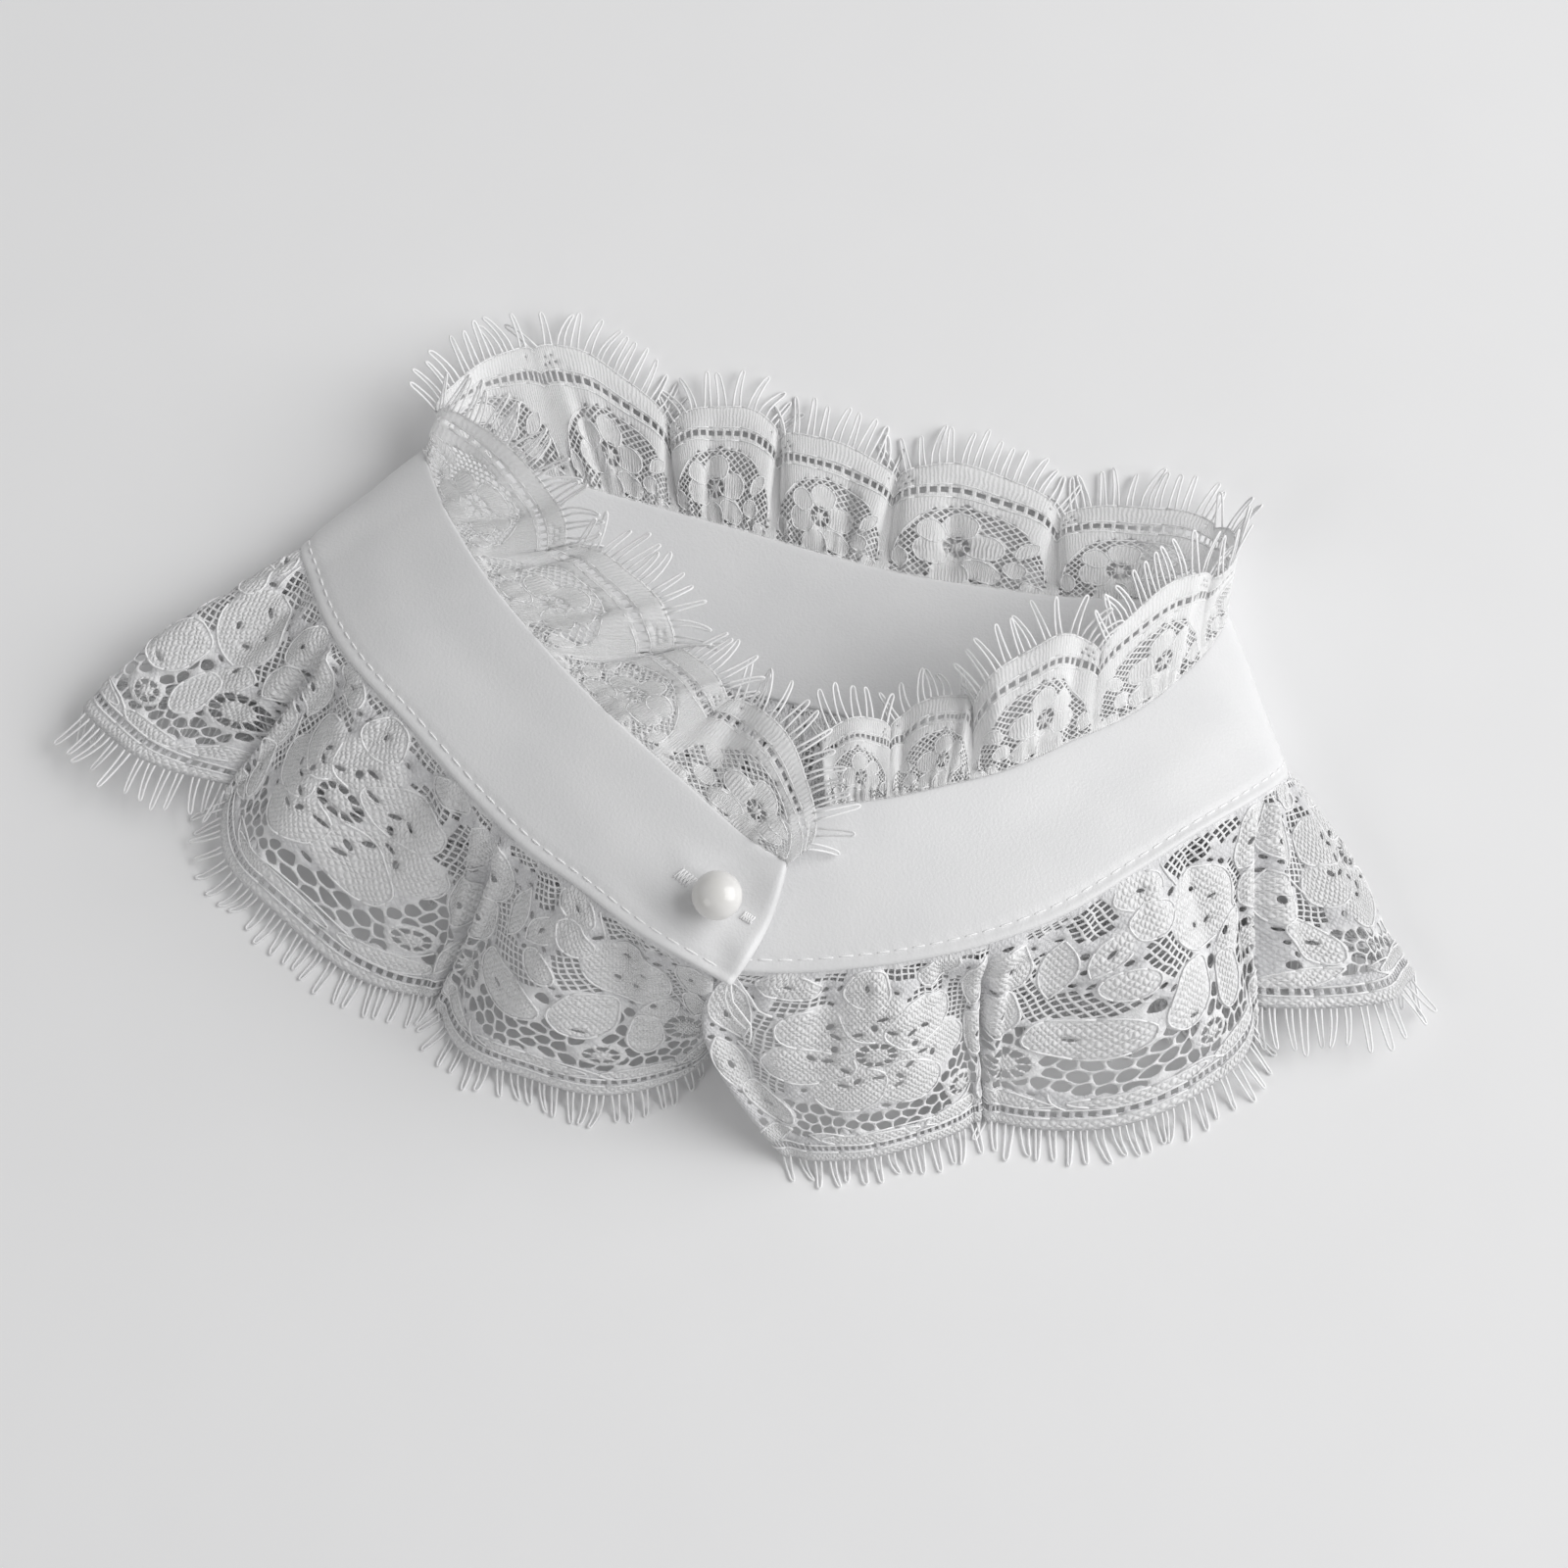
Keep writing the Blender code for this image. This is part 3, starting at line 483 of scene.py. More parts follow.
class Lace:
    """A gathered lace strip, read by its scallop number s and its depth w from seam to edge."""

    def __init__(self, rows, across, bulge, swing, creases, depth):
        strip = table(LACE_COLUMNS, rows)
        self.station, self.flat = strip["station"], strip["flat"]
        self.fold = strip["fold"] * MM
        self.joint, self.tip = points_of(strip, "joint"), points_of(strip, "tip")
        self.across, self.bulge, self.swing, self.depth = across, bulge, swing, depth
        self.side = 1 if across < 0.5 else -1
        self.creases = table(CREASE_COLUMNS, creases)
        self.scallops = len(rows) - 1

    def hem(self, s):
        """The scalloped edge: an arch over each pair of joints, with its top at the tip."""
        i = np.clip(s.astype(int), 0, self.scallops - 1)
        start, end, tip = self.joint[i], self.joint[i + 1], self.tip[i]
        chord = end - start
        share = np.sum((tip - start) * chord, axis=1) / np.sum(chord ** 2, axis=1)
        foot = start + chord * share[:, None]
        turn = np.cos(np.pi * (s - i))[:, None]
        rise = (np.sin(np.pi * (s - i)).clip(0, 1) ** self.flat[i])[:, None]
        rise = rise * (1 + HEM_WOBBLE * np.sin(2 * np.pi * 2.3 * s + 0.7)[:, None] * rise)
        side = np.where(turn > 0, start - foot, foot - end)
        return foot + side * turn + (tip - foot) * rise

    def creased(self, s, w):
        """How deep the listed creases and the puckers at the seam press the sheet."""
        sink = np.zeros(len(s))
        c = self.creases
        for k in range(len(c["s"])):
            off = s - c["s"][k] - c["lean"][k] * (w - c["w"][k])
            near = np.exp(-(off / c["reach_s"][k]) ** 2 - ((w - c["w"][k]) / c["reach_w"][k]) ** 2)
            sink += c["depth"][k] * MM * near
        pucker = np.sin(2 * np.pi * 9.1 * s) + 0.7 * np.sin(2 * np.pi * 14.3 * s + 1.1)
        return sink * CREASE_GAIN + PUCKER_DEPTH * pucker * np.exp(-(w / PUCKER_FADE) ** 2) * (w > 0)

    def point(self, s, w):
        """Points of the draped sheet, never under the table."""
        run = np.interp(s, np.arange(self.scallops + 1), run_at(self.station))
        edge, band_normal, along = band_frame(run, self.across)
        hem = self.hem(s)
        toward = unit(hem - edge)
        bend = np.abs(np.sum(toward * band_normal, axis=1))[:, None].clip(0, MOST_BEND)
        seam = edge + toward * (GAP + LACE_WALL / 2 * bend) / np.sqrt(1 - bend ** 2)
        outward = unit(np.cross(along, hem - seam)) * self.side
        nearest = np.round(s).astype(int)
        down = w.clip(0, 1)
        arch = np.sin(np.pi * down)
        trough = self.fold[nearest] * np.exp(-((s - nearest) / FOLD_SHARE) ** 2)
        gather = GATHER_DEPTH * np.sin(np.pi * GATHERS_A_SCALLOP * s) ** 2
        hang = self.bulge * 4 * down * (1 - down) * np.clip(outward[:, 2], 0, 1)
        sink = trough * (0.25 + 0.75 * arch) * np.minimum(1, 5 * down) + gather * arch
        sink = sink + self.creased(s, down) * np.minimum(1, 12 * down)
        lap = END_LAP * np.exp(-((down - 0.25) / 0.27) ** 2) * np.minimum(1, 25 * down)
        swing = (self.swing * arch + lap * (self.swing > 0)) * np.exp(-(s / END_SWING_REACH) ** 2)
        place = seam + (hem - seam) * w[:, None] + outward * (hang - sink)[:, None]
        place = place - along * swing[:, None]
        tucked = w < 0
        if tucked.any():
            inside = self.across - self.side * w[tucked] * self.depth / BAND_WIDTH
            place[tucked] = band_frame(run[tucked], inside)[0]
        place[:, 2] = np.maximum(place[:, 2], LACE_WALL / 2)
        return place

    def surface(self, s, w):
        """Points, outward normals and the way along the strip."""
        step_s, step_w = 0.006, 0.012
        before, after = np.clip(s - step_s, 0, self.scallops), np.clip(s + step_s, 0, self.scallops)
        along = unit(self.point(after, w) - self.point(before, w))
        down = self.point(s, np.maximum(w, 0) + step_w) - self.point(s, np.maximum(w, 0))
        return self.point(s, w), unit(np.cross(along, down)) * self.side, along


LOWER_DEPTH = 54.0 * MM
UPPER_DEPTH = 26.0 * MM
lower = Lace(LOWER_ROWS, 1.0, LOWER_BULGE, END_SWING, LOWER_CREASES, LOWER_DEPTH)
upper = Lace(UPPER_ROWS, 0.0, UPPER_BULGE, 0.0, UPPER_CREASES, UPPER_DEPTH)
print("scallops:", lower.scallops, "wide and", upper.scallops, "narrow")


# %% Small tools for meshes
def new_piece(name, corners, faces, material):
    """A mesh object from corners and faces."""
    mesh = bpy.data.meshes.new(name)
    mesh.from_pydata([tuple(c) for c in corners], [], faces)
    mesh.materials.append(material)
    mesh.shade_smooth()
    piece = bpy.data.objects.new(name, mesh)
    bpy.context.scene.collection.objects.link(piece)
    return piece


def apply_modifier(piece, modifier):
    """Apply one modifier, with only its own object selected."""
    bpy.ops.object.select_all(action="DESELECT")
    piece.select_set(True)
    bpy.context.view_layer.objects.active = piece
    bpy.ops.object.modifier_apply(modifier=modifier.name)
    piece.select_set(False)


def triangles(piece):
    """How many triangles a piece has."""
    return sum(len(p.vertices) - 2 for p in piece.data.polygons)


def dress(piece, nodes):
    """The piece rides with the collar and stands for its nodes."""
    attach(piece, "root")
    if nodes:
        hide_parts(*nodes)
    print(piece.name, triangles(piece), "triangles")


def tubes(paths, normals, radii, sides):
    """Corners and faces of round threads along many paths of the same number of points."""
    count, length = paths.shape[:2]
    ahead = np.gradient(paths, axis=1)
    ahead = unit(ahead)
    side = unit(np.cross(ahead, normals))
    top = np.cross(side, ahead)
    turn = np.arange(sides) * 2 * np.pi / sides
    ring = (side[:, :, None] * np.cos(turn)[:, None] + top[:, :, None] * np.sin(turn)[:, None])
    corners = paths[:, :, None] + ring * np.asarray(radii)[..., None, None]
    first = (np.arange(count) * length * sides)[:, None, None]
    ringed = first + (np.arange(length - 1) * sides)[:, None]
    k = np.arange(sides)
    n = (k + 1) % sides
    quads = np.stack([ringed + k, ringed + n, ringed + sides + n, ringed + sides + k], axis=-1)
    faces = quads.reshape(-1, 4).tolist()
    for begin in first.ravel():
        faces.append([int(begin) + j for j in reversed(range(sides))])
        faces.append([int(begin) + (length - 1) * sides + j for j in range(sides)])
    return corners.reshape(-1, 3), faces


# %% [markdown]
# ## The pattern of the lace
# Most of this lace is dense clothwork. Flowers and leaves are worked in it with a thicker weave,
# and nets fill only the gaps between them: a coarse six-cornered net near the scalloped edge and
# fine square nets higher up. The pattern is drawn flat, one scallop at a time, in millimetres,
# with x along the strip and y from the seam to the edge. Net cells that would run into a motif
# have their corners pushed out to its edge, as the net of real lace ends on a motif's outline.

# %% Motifs
ROUND, LEAF, PETAL = 0, 1, 2
MOTIF_COLUMNS = "x y length width turn kind"
NOTCH = 0.12
NOTCH_REACH = 0.35


def flower(x, y, petals, reach, length, width, turn):
    """The petals of a flower, as rows of motifs."""
    angles = [turn + 360 * k / petals for k in range(petals)]
    return [(x + reach * math.cos(math.radians(a)), y + reach * math.sin(math.radians(a)),
             length, width, a, PETAL) for a in angles]


def edge_share(angle, kind):
    """How far a motif's edge lies from its middle at each angle, as a share of its radii."""
    rise, flat = np.abs(np.sin(angle)), np.cos(angle) ** 2 + 1e-6
    leaf = (np.sqrt(rise ** 2 + 4 * flat) - rise) / (2 * flat)
    wrapped = np.angle(np.exp(1j * angle))
    petal = 1 - NOTCH * np.exp(-(wrapped / NOTCH_REACH) ** 2) + 0.04 * np.cos(5 * angle)
    return np.where(kind == LEAF, leaf, np.where(kind == PETAL, petal, 1.0))


def distances(points, motifs):
    """How far each point lies outside each motif, less than zero inside it."""
    x, y, length, width, turn, kind = motifs.T
    turn = np.radians(turn)
    off_x, off_y = points[:, None, 0] - x, points[:, None, 1] - y
    along = off_x * np.cos(turn) + off_y * np.sin(turn)
    side = off_y * np.cos(turn) - off_x * np.sin(turn)
    share = np.maximum(np.hypot(along / length, side / width), 1e-3)
    reach = edge_share(np.arctan2(side / width, along / length), kind)
    return np.hypot(along, side) * (1 - reach / share)


def motif_edge(motif, count):
    """Points round a motif's edge."""
    x, y, length, width, turn, kind = motif
    angle = np.linspace(0, 2 * np.pi, count)
    reach = edge_share(angle, kind)
    along, side = reach * np.cos(angle) * length, reach * np.sin(angle) * width
    turn = math.radians(turn)
    return np.stack([x + along * math.cos(turn) - side * math.sin(turn),
                     y + along * math.sin(turn) + side * math.cos(turn)], axis=1)


# %% Nets, rosettes and slits
def round_corners(holes, share):
    """Each corner of the holes becomes two, so that they look round."""
    before, after = np.roll(holes, 1, axis=1), np.roll(holes, -1, axis=1)
    first, second = holes + (before - holes) * share, holes + (after - holes) * share
    return np.stack([first, second], axis=2).reshape(len(holes), -1, 2)


def net_cells(width, depth, pitch, thread, corners, turn, warp, tall):
    """The holes of a net: six-cornered on a staggered grid or four-cornered on a plain one."""
    rows = int(1.6 * (width + depth) / pitch)
    i, j = np.meshgrid(np.arange(-rows, rows), np.arange(-rows, rows))
    if corners == 6:
        x, y = (i + (j % 2) / 2) * pitch, j * pitch * math.sqrt(3) / 2
    else:
        x, y = i * pitch, j * pitch
    middle = np.stack([x.ravel(), y.ravel()], axis=1)
    spin = np.radians(30 if corners == 6 else 45) + np.arange(corners) * 2 * np.pi / corners
    radius = (pitch - thread) / 2 / math.cos(math.pi / corners)
    holes = middle[:, None] + radius * np.stack([np.cos(spin), np.sin(spin)], axis=1)
    c, s = math.cos(math.radians(turn)), math.sin(math.radians(turn))
    holes = holes @ np.array([[c, s], [-s, c]]) + np.array([width / 2, depth / 2])
    holes[..., 1] *= tall
    hx, hy = holes[..., 0], holes[..., 1]
    shift = np.stack([np.sin(hy * 0.83 + hx * 0.31) + 0.6 * np.sin(hy * 2.1 + 1.3),
                      np.sin(hx * 0.71 - hy * 0.27 + 2.0) + 0.6 * np.sin(hx * 1.9)], axis=-1)
    holes = holes + warp * shift
    middle = holes.mean(axis=1)
    inside = (middle > 0).all(axis=1) & (middle[:, 0] < width) & (middle[:, 1] < depth)
    return holes[inside]


def areas(holes):
    """The signed area of each hole."""
    x, y = holes[..., 0], holes[..., 1]
    return np.sum(x * np.roll(y, -1, axis=1) - y * np.roll(x, -1, axis=1), axis=1) / 2


def clear_of(holes, gaps, motifs, margin, box, least):
    """Keep the holes that lie in a gap, and push their corners out of the motifs."""
    x0, y0, x1, y1 = box
    middle = holes.mean(axis=1)
    holes = holes[(distances(middle, gaps).min(axis=1) < 0)
                  & (distances(middle, motifs).min(axis=1) > -0.2)]
    flat = holes.reshape(-1, 2).copy()
    tiny = 0.03
    for _ in range(3):
        here = distances(flat, motifs).min(axis=1)
        slope = np.stack([distances(flat + step, motifs).min(axis=1) - here
                          for step in (np.array([tiny, 0.0]), np.array([0.0, tiny]))], axis=1)
        slope = slope / np.maximum(np.linalg.norm(slope, axis=1, keepdims=True), 1e-9)
        flat = flat + slope * np.clip(margin - here, 0, None)[:, None]
        flat = np.clip(flat, (x0, y0), (x1, y1))
    holes = flat.reshape(holes.shape)
    return holes[areas(holes) > least]


def ring_holes(x, y, inner, outer, count, thread):
    """The ring of holes round a rosette's disc."""
    angle = np.arange(count) * 2 * np.pi / count + 0.2
    half_in, half_out = np.pi / count - thread / 2 / inner, np.pi / count - thread / 2 / outer
    corners = [(inner, -half_in), (outer, -half_out), (outer, half_out), (inner, half_in)]
    return np.stack([np.stack([x + r * np.cos(angle + h), y + r * np.sin(angle + h)], axis=1)
                     for r, h in corners], axis=1)


def slit(x, y, length, width, turn):
    """One small hole in clothwork, pointed at both ends."""
    angle = np.arange(8) * np.pi / 4
    c, s = math.cos(math.radians(turn)), math.sin(math.radians(turn))
    along, side = np.cos(angle) * length / 2, np.sin(angle) * width / 2
    return np.stack([x + along * c - side * s, y + along * s + side * c], axis=1)[None]


def ladder(width, low, high, pitch, share, slim):
    """The row of small upright holes that follows the scalloped edge, slimmer at its top."""
    count = int(width / pitch)
    x = (np.arange(count) + 0.5) * width / count
    half = width / count * share / 2
    tall = (high - low) / 2 * (1 - slim * np.sin(np.pi * x / width) ** 2)
    middle = (low + high) / 2
    return np.stack([np.stack([x + dx * half, middle + dy * tall], axis=1)
                     for dx, dy in ((-1, -1), (1, -1), (1, 1), (-1, 1))], axis=1)


# %% Cut the flat lace
GRID_PITCH = 1.2
GROUND = 0.35


def in_holes(points, holes):
    """Which points lie inside any hole."""
    inside = np.zeros(len(points), bool)
    for hole in holes:
        middle = hole.mean(axis=0)
        reach = np.linalg.norm(hole - middle, axis=1).max()
        near = np.flatnonzero(np.linalg.norm(points - middle, axis=1) < reach)
        x, y = points[near, 0][:, None], points[near, 1][:, None]
        a, b = hole, np.roll(hole, -1, axis=0)
        spans = (a[:, 1] > y) != (b[:, 1] > y)
        rise = np.where(a[:, 1] == b[:, 1], 1.0, b[:, 1] - a[:, 1])
        crosses = spans & (x < a[:, 0] + (y - a[:, 1]) * (b[:, 0] - a[:, 0]) / rise)
        inside[near] |= crosses.sum(axis=1) % 2 == 1
    return inside


def depth_in_top(points, motifs):
    """How deep each point lies inside the uppermost motif there, and zero outside them all."""
    inside = -distances(points, motifs)
    top = inside.shape[1] - 1 - np.argmax(inside[:, ::-1] > 0, axis=1)
    return inside[np.arange(len(points)), top].clip(0)


def shown_edges(motifs, width, depth):
    """Points along the motifs' edges, where no later motif covers them."""
    found = []
    for m, motif in enumerate(motifs):
        edge = motif_edge(motif, max(8, int(2 * math.pi * max(motif[2:4]) / GRID_PITCH)))[:-1]
        shown = ((edge > 0.5) & (edge < (width - 0.5, depth - 0.5))).all(axis=1)
        if m + 1 < len(motifs):
            shown &= distances(edge, motifs[m + 1:]).min(axis=1) > 0.3
        found.append(edge[shown])
    return np.concatenate(found)


def apart(points, others, least):
    """The points that lie at least so far from all the others."""
    return points[np.min(np.linalg.norm(points[:, None] - others[None], axis=2), axis=1) > least]


def cut_flat(width, depth, tuck, hole_sets, motifs, gaps):
    """A flat scallop: corners, triangles, how thick its clothwork is and how pale its thread."""
    edge_y = np.linspace(-tuck, depth, int((depth + tuck) / GRID_PITCH) + 1)
    edge_x = np.linspace(0, width, int(width / GRID_PITCH) + 1)
    grid = np.stack(np.meshgrid(edge_x, edge_y), axis=-1)
    inner = grid[1:-1, 1:-1].reshape(-1, 2)
    holes = [h for group in hole_sets for h in group]
    rims = np.concatenate(holes)
    lines = apart(shown_edges(motifs, width, depth), rims, 0.3)
    inner = apart(inner, np.concatenate([rims, lines]), 0.4 * GRID_PITCH)
    inner = np.concatenate([inner, lines])
    frame_points = np.concatenate([grid[0], grid[1:, -1], grid[-1, -2::-1], grid[-2:0:-1, 0]])
    corners = np.concatenate([frame_points, inner, rims])
    count = len(frame_points)
    edges = [(k, (k + 1) % count) for k in range(count)]
    at = count + len(inner)
    for h in holes:
        edges += [(at + k, at + (k + 1) % len(h)) for k in range(len(h))]
        at += len(h)
    out = delaunay_2d_cdt([Vector(c) for c in corners.tolist()], edges, [], 0, 1e-4)
    flat = np.array([tuple(v) for v in out[0]])
    kept = np.array(out[2])
    kept = kept[~in_holes(flat[kept].mean(axis=1), holes)]
    used, kept = np.unique(kept, return_inverse=True)
    flat, kept = flat[used], kept.reshape(-1, 3)
    away = distances(flat, motifs).min(axis=1)
    net = np.clip(-distances(flat, gaps).min(axis=1) / 0.5, 0, 1) * (away > 0)
    thick = np.maximum(np.clip(depth_in_top(flat, motifs) / 0.8, 0, 1), GROUND * (1 - net))
    return flat, kept, thick, np.maximum(np.clip(0.4 - away, 0, 1), net)


LOWER_WIDTH = 50.0
LOWER_TALL = LOWER_DEPTH / MM
UPPER_WIDTH = 30.0
UPPER_TALL = UPPER_DEPTH / MM
RUNG_LOW, RUNG_HIGH = 49.1, 50.8


def rosettes_of(rows, thread):
    """The ring holes of each rosette and the round motif that keeps the nets off it."""
    holes = [ring_holes(x, y, inner, outer, int(count), thread)
             for x, y, inner, outer, count in rows]
    rounds = [(x, y, outer + 0.5, outer + 0.5, 0, ROUND) for x, y, inner, outer, count in rows]
    return [round_corners(h, 0.2) for h in holes], rounds


def slits_of(rows):
    """The separate small holes of a table."""
    return [slit(*row) for row in rows]


ROSETTE_COLUMNS = "x y inner outer count"
SLIT_COLUMNS = "x y length width turn"
FLOWER_ROSETTES = [(26.0, 22.5, 1.9, 3.4, 10), (40.6, 40.0, 1.5, 2.7, 8)]
FLOWER_MOTIFS = [
    (4.5, 11.0, 9.0, 3.6, 72.0, LEAF), (3.6, 27.0, 8.0, 3.2, 82.0, LEAF),
    (8.0, 38.0, 6.6, 3.2, 62.0, PETAL), (47.0, 10.0, 7.5, 3.2, 100.0, LEAF),
    (46.6, 26.5, 7.0, 3.4, 88.0, PETAL), (12.0, 3.6, 5.4, 3.0, 20.0, ROUND),
    (39.0, 3.6, 5.0, 3.0, -25.0, PETAL), (25.0, 52.5, 80.0, 1.2, 0.0, ROUND),
    (5.0, 46.8, 6.5, 2.2, -20.0, LEAF), (24.0, 47.4, 8.0, 1.6, 2.0, ROUND),
    (39.0, 46.8, 6.0, 1.9, -4.0, ROUND), (48.2, 41.0, 6.0, 1.8, -72.0, LEAF),
] + flower(26.0, 22.5, 7, 10.4, 7.0, 5.5, 12.0) + [
    (25.0, 5.5, 5.0, 4.0, 95.0, PETAL),
]
FLOWER_COARSE = [(14.5, 41.0, 7.5, 5.5, 20.0, ROUND), (28.0, 42.5, 9.0, 3.6, 0.0, ROUND),
                 (41.0, 39.0, 6.5, 6.6, 0.0, ROUND), (8.0, 45.0, 4.0, 3.0, 0.0, ROUND),
                 (42.0, 31.0, 4.0, 6.0, 0.0, ROUND)]
FLOWER_FINE = [(9.5, 19.5, 3.4, 10.0, -8.0, ROUND), (42.5, 16.0, 3.4, 9.0, 8.0, ROUND),
               (15.0, 9.5, 5.5, 3.4, 40.0, ROUND), (36.0, 9.0, 5.5, 3.0, -30.0, ROUND),
               (31.0, 1.8, 6.0, 2.0, 0.0, ROUND), (4.0, 1.8, 4.0, 2.0, 0.0, ROUND),
               (18.6, 1.6, 2.6, 1.6, 0.0, ROUND), (46.5, 1.6, 3.4, 1.6, 0.0, ROUND),
               (9.0, 31.0, 3.0, 4.0, 0.0, ROUND)]
FLOWER_SLITS = [(26.0 + r * math.cos(math.radians(a)), 22.5 + r * math.sin(math.radians(a)),
                 2.1, 1.1, a + turn)
                for k in range(7)
                for a, r, turn in ((12.0 + 51.43 * k, 7.6, 0), (12.0 + 51.43 * k + 8, 9.8, 70),
                                   (12.0 + 51.43 * k - 25.7, 6.4, 90))]
FLOWER_SLITS += [(4.4, 13.0, 2.2, 0.9, 72.0), (3.6, 27.0, 2.4, 1.0, 82.0), (8.0, 38.0, 2.4, 1.1, 20.0),
                 (46.6, 27.0, 2.0, 1.0, 90.0), (12.0, 3.6, 1.6, 0.8, 20.0), (25.0, 5.0, 1.8, 0.9, 95.0)]
OPEN_ROSETTES = [(5.8, 38.0, 2.1, 4.1, 11), (44.2, 32.5, 2.9, 4.9, 12), (30.6, 41.6, 1.3, 2.5, 7)]
OPEN_MOTIFS = [
    (4.0, 11.0, 8.0, 3.8, 80.0, PETAL), (34.0, 15.5, 9.0, 7.0, 75.0, ROUND),
    (3.8, 24.5, 6.6, 3.6, 85.0, PETAL), (12.0, 15.0, 7.2, 2.6, 95.0, LEAF),
    (18.6, 13.5, 5.2, 2.6, 120.0, LEAF), (23.6, 3.6, 4.6, 3.4, 30.0, PETAL),
    (24.6, 10.4, 4.2, 3.4, 60.0, PETAL), (20.2, 21.4, 3.7, 3.0, 40.0, ROUND),
    (46.4, 8.0, 7.5, 3.6, 105.0, PETAL), (46.6, 20.0, 6.0, 3.2, 95.0, LEAF),
    (38.8, 27.0, 5.6, 2.9, 115.0, PETAL), (28.0, 30.5, 7.2, 4.2, 102.0, PETAL),
    (36.6, 34.6, 6.6, 2.8, 92.0, PETAL), (15.5, 32.0, 7.6, 4.6, 14.0, PETAL),
    (25.0, 52.5, 80.0, 1.2, 0.0, ROUND), (6.0, 46.9, 7.0, 1.9, 8.0, LEAF),
    (21.5, 47.5, 7.5, 1.5, 2.0, ROUND), (36.5, 47.4, 6.0, 1.6, -2.0, ROUND),
    (46.6, 45.0, 5.4, 2.0, -28.0, LEAF),
]
OPEN_COARSE = [(5.8, 37.0, 7.6, 8.2, 0.0, ROUND), (20.0, 41.0, 11.0, 5.0, 4.0, ROUND),
               (37.0, 41.5, 10.0, 4.6, -6.0, ROUND), (32.4, 33.0, 3.4, 7.5, 0.0, ROUND),
               (42.0, 35.0, 8.0, 8.5, 0.0, ROUND), (22.2, 32.0, 2.6, 5.0, 0.0, ROUND)]
OPEN_FINE = [(14.5, 24.6, 9.0, 4.0, 14.0, ROUND), (26.0, 19.5, 3.6, 5.5, -20.0, ROUND),
             (8.4, 18.5, 2.8, 8.5, 5.0, ROUND), (33.5, 3.4, 5.0, 3.4, 0.0, ROUND),
             (16.0, 5.0, 3.6, 4.5, 15.0, ROUND), (41.8, 17.0, 2.8, 7.5, 0.0, ROUND),
             (9.0, 2.0, 3.6, 2.4, 0.0, ROUND), (41.0, 2.4, 3.0, 2.4, 0.0, ROUND)]
OPEN_SLITS = [(4.2, 12.0, 2.2, 1.0, 80.0), (3.8, 24.5, 2.0, 0.9, 85.0), (38.0, 24.5, 2.0, 1.1, 100.0),
              (27.5, 35.0, 2.0, 0.9, 20.0), (33.0, 11.0, 2.0, 1.0, 40.0), (45.8, 8.5, 2.0, 0.9, 105.0),
              (23.6, 3.6, 1.6, 0.8, 30.0), (36.6, 15.0, 1.6, 0.8, 0.0), (14.0, 32.0, 2.0, 0.9, 14.0),
              (31.5, 18.0, 1.8, 0.9, 60.0), (35.0, 19.5, 1.6, 0.9, -40.0), (18.4, 13.6, 2.0, 0.8, 120.0)]
EDGE_HOLE_PITCH = 2.3
EDGE_HOLE_OFF = 0.85


def edge_holes(motifs, gaps, width, low, high, seed):
    """Small uneven holes that follow the motifs' edges, where no net lies beside them."""
    draw = np.random.default_rng(seed)
    found = []
    for x, y, long, wide, turn, kind in motifs:
        grown = (x, y, long + EDGE_HOLE_OFF, wide + EDGE_HOLE_OFF, turn, kind)
        count = max(6, int(math.pi * (long + wide) / EDGE_HOLE_PITCH))
        edge = motif_edge(grown, count + 1)
        ahead = np.roll(edge[:-1], -1, axis=0) - edge[:-1]
        for point, way in zip(edge[:-1] + draw.normal(0, 0.12, (count, 2)), ahead):
            here = point[None]
            if not (1.6 < point[0] < width - 1.6 and low < point[1] < high):
                continue
            if distances(here, motifs).min() < 0.5 or distances(here, gaps).min() < 0.9:
                continue
            if any(np.hypot(*(point - other[:2])) < 1.9 for other in found):
                continue
            found.append((*point, 1.5 + draw.uniform(-0.3, 0.5), 0.95 + draw.uniform(-0.2, 0.3),
                          math.degrees(math.atan2(way[1], way[0]))))
    return slits_of(found)


def clear_slits(holes, others):
    """The separate holes that keep clear of the others' corners."""
    corners = np.concatenate([h for group in others for h in group])
    return [h for h in holes
            if np.linalg.norm(corners - h[0].mean(axis=0), axis=1).min() > 1.15]


def lower_scallop(motif_rows, rosette_rows, slits, coarse_gaps, fine_gaps, fine_turn, seed):
    """One flat scallop of the wide lace."""
    rings, rounds = rosettes_of(rosette_rows, 0.36)
    motifs = np.array(motif_rows + rounds, dtype=float)
    gaps = np.array(coarse_gaps + fine_gaps, dtype=float)
    coarse = round_corners(net_cells(LOWER_WIDTH, LOWER_TALL, 2.4, 0.34, 6, 12.0, 0.3, 1.4), 0.2)
    coarse = clear_of(coarse, np.array(coarse_gaps), motifs, 0.25,
                      (0.6, 0.9, LOWER_WIDTH - 0.6, RUNG_LOW - 2.6), 0.7)
    fine = net_cells(LOWER_WIDTH, LOWER_TALL, 1.3, 0.34, 4, fine_turn, 0.12, 1.1)
    fine = fine[distances(fine.mean(axis=1), np.array(coarse_gaps)).min(axis=1) > 1.3]
    fine = clear_of(fine, np.array(fine_gaps), motifs, 0.2,
                    (0.6, 0.7, LOWER_WIDTH - 0.6, RUNG_LOW), 0.25)
    rungs = ladder(LOWER_WIDTH, RUNG_LOW, RUNG_HIGH, 1.2, 0.58, 0.25)
    sets = [coarse, fine, rungs] + rings + slits_of(slits)
    sets += clear_slits(edge_holes(motifs, gaps, LOWER_WIDTH, 1.6, 45.4, seed), sets)
    return cut_flat(LOWER_WIDTH, LOWER_TALL, 1.4, sets, motifs, gaps)


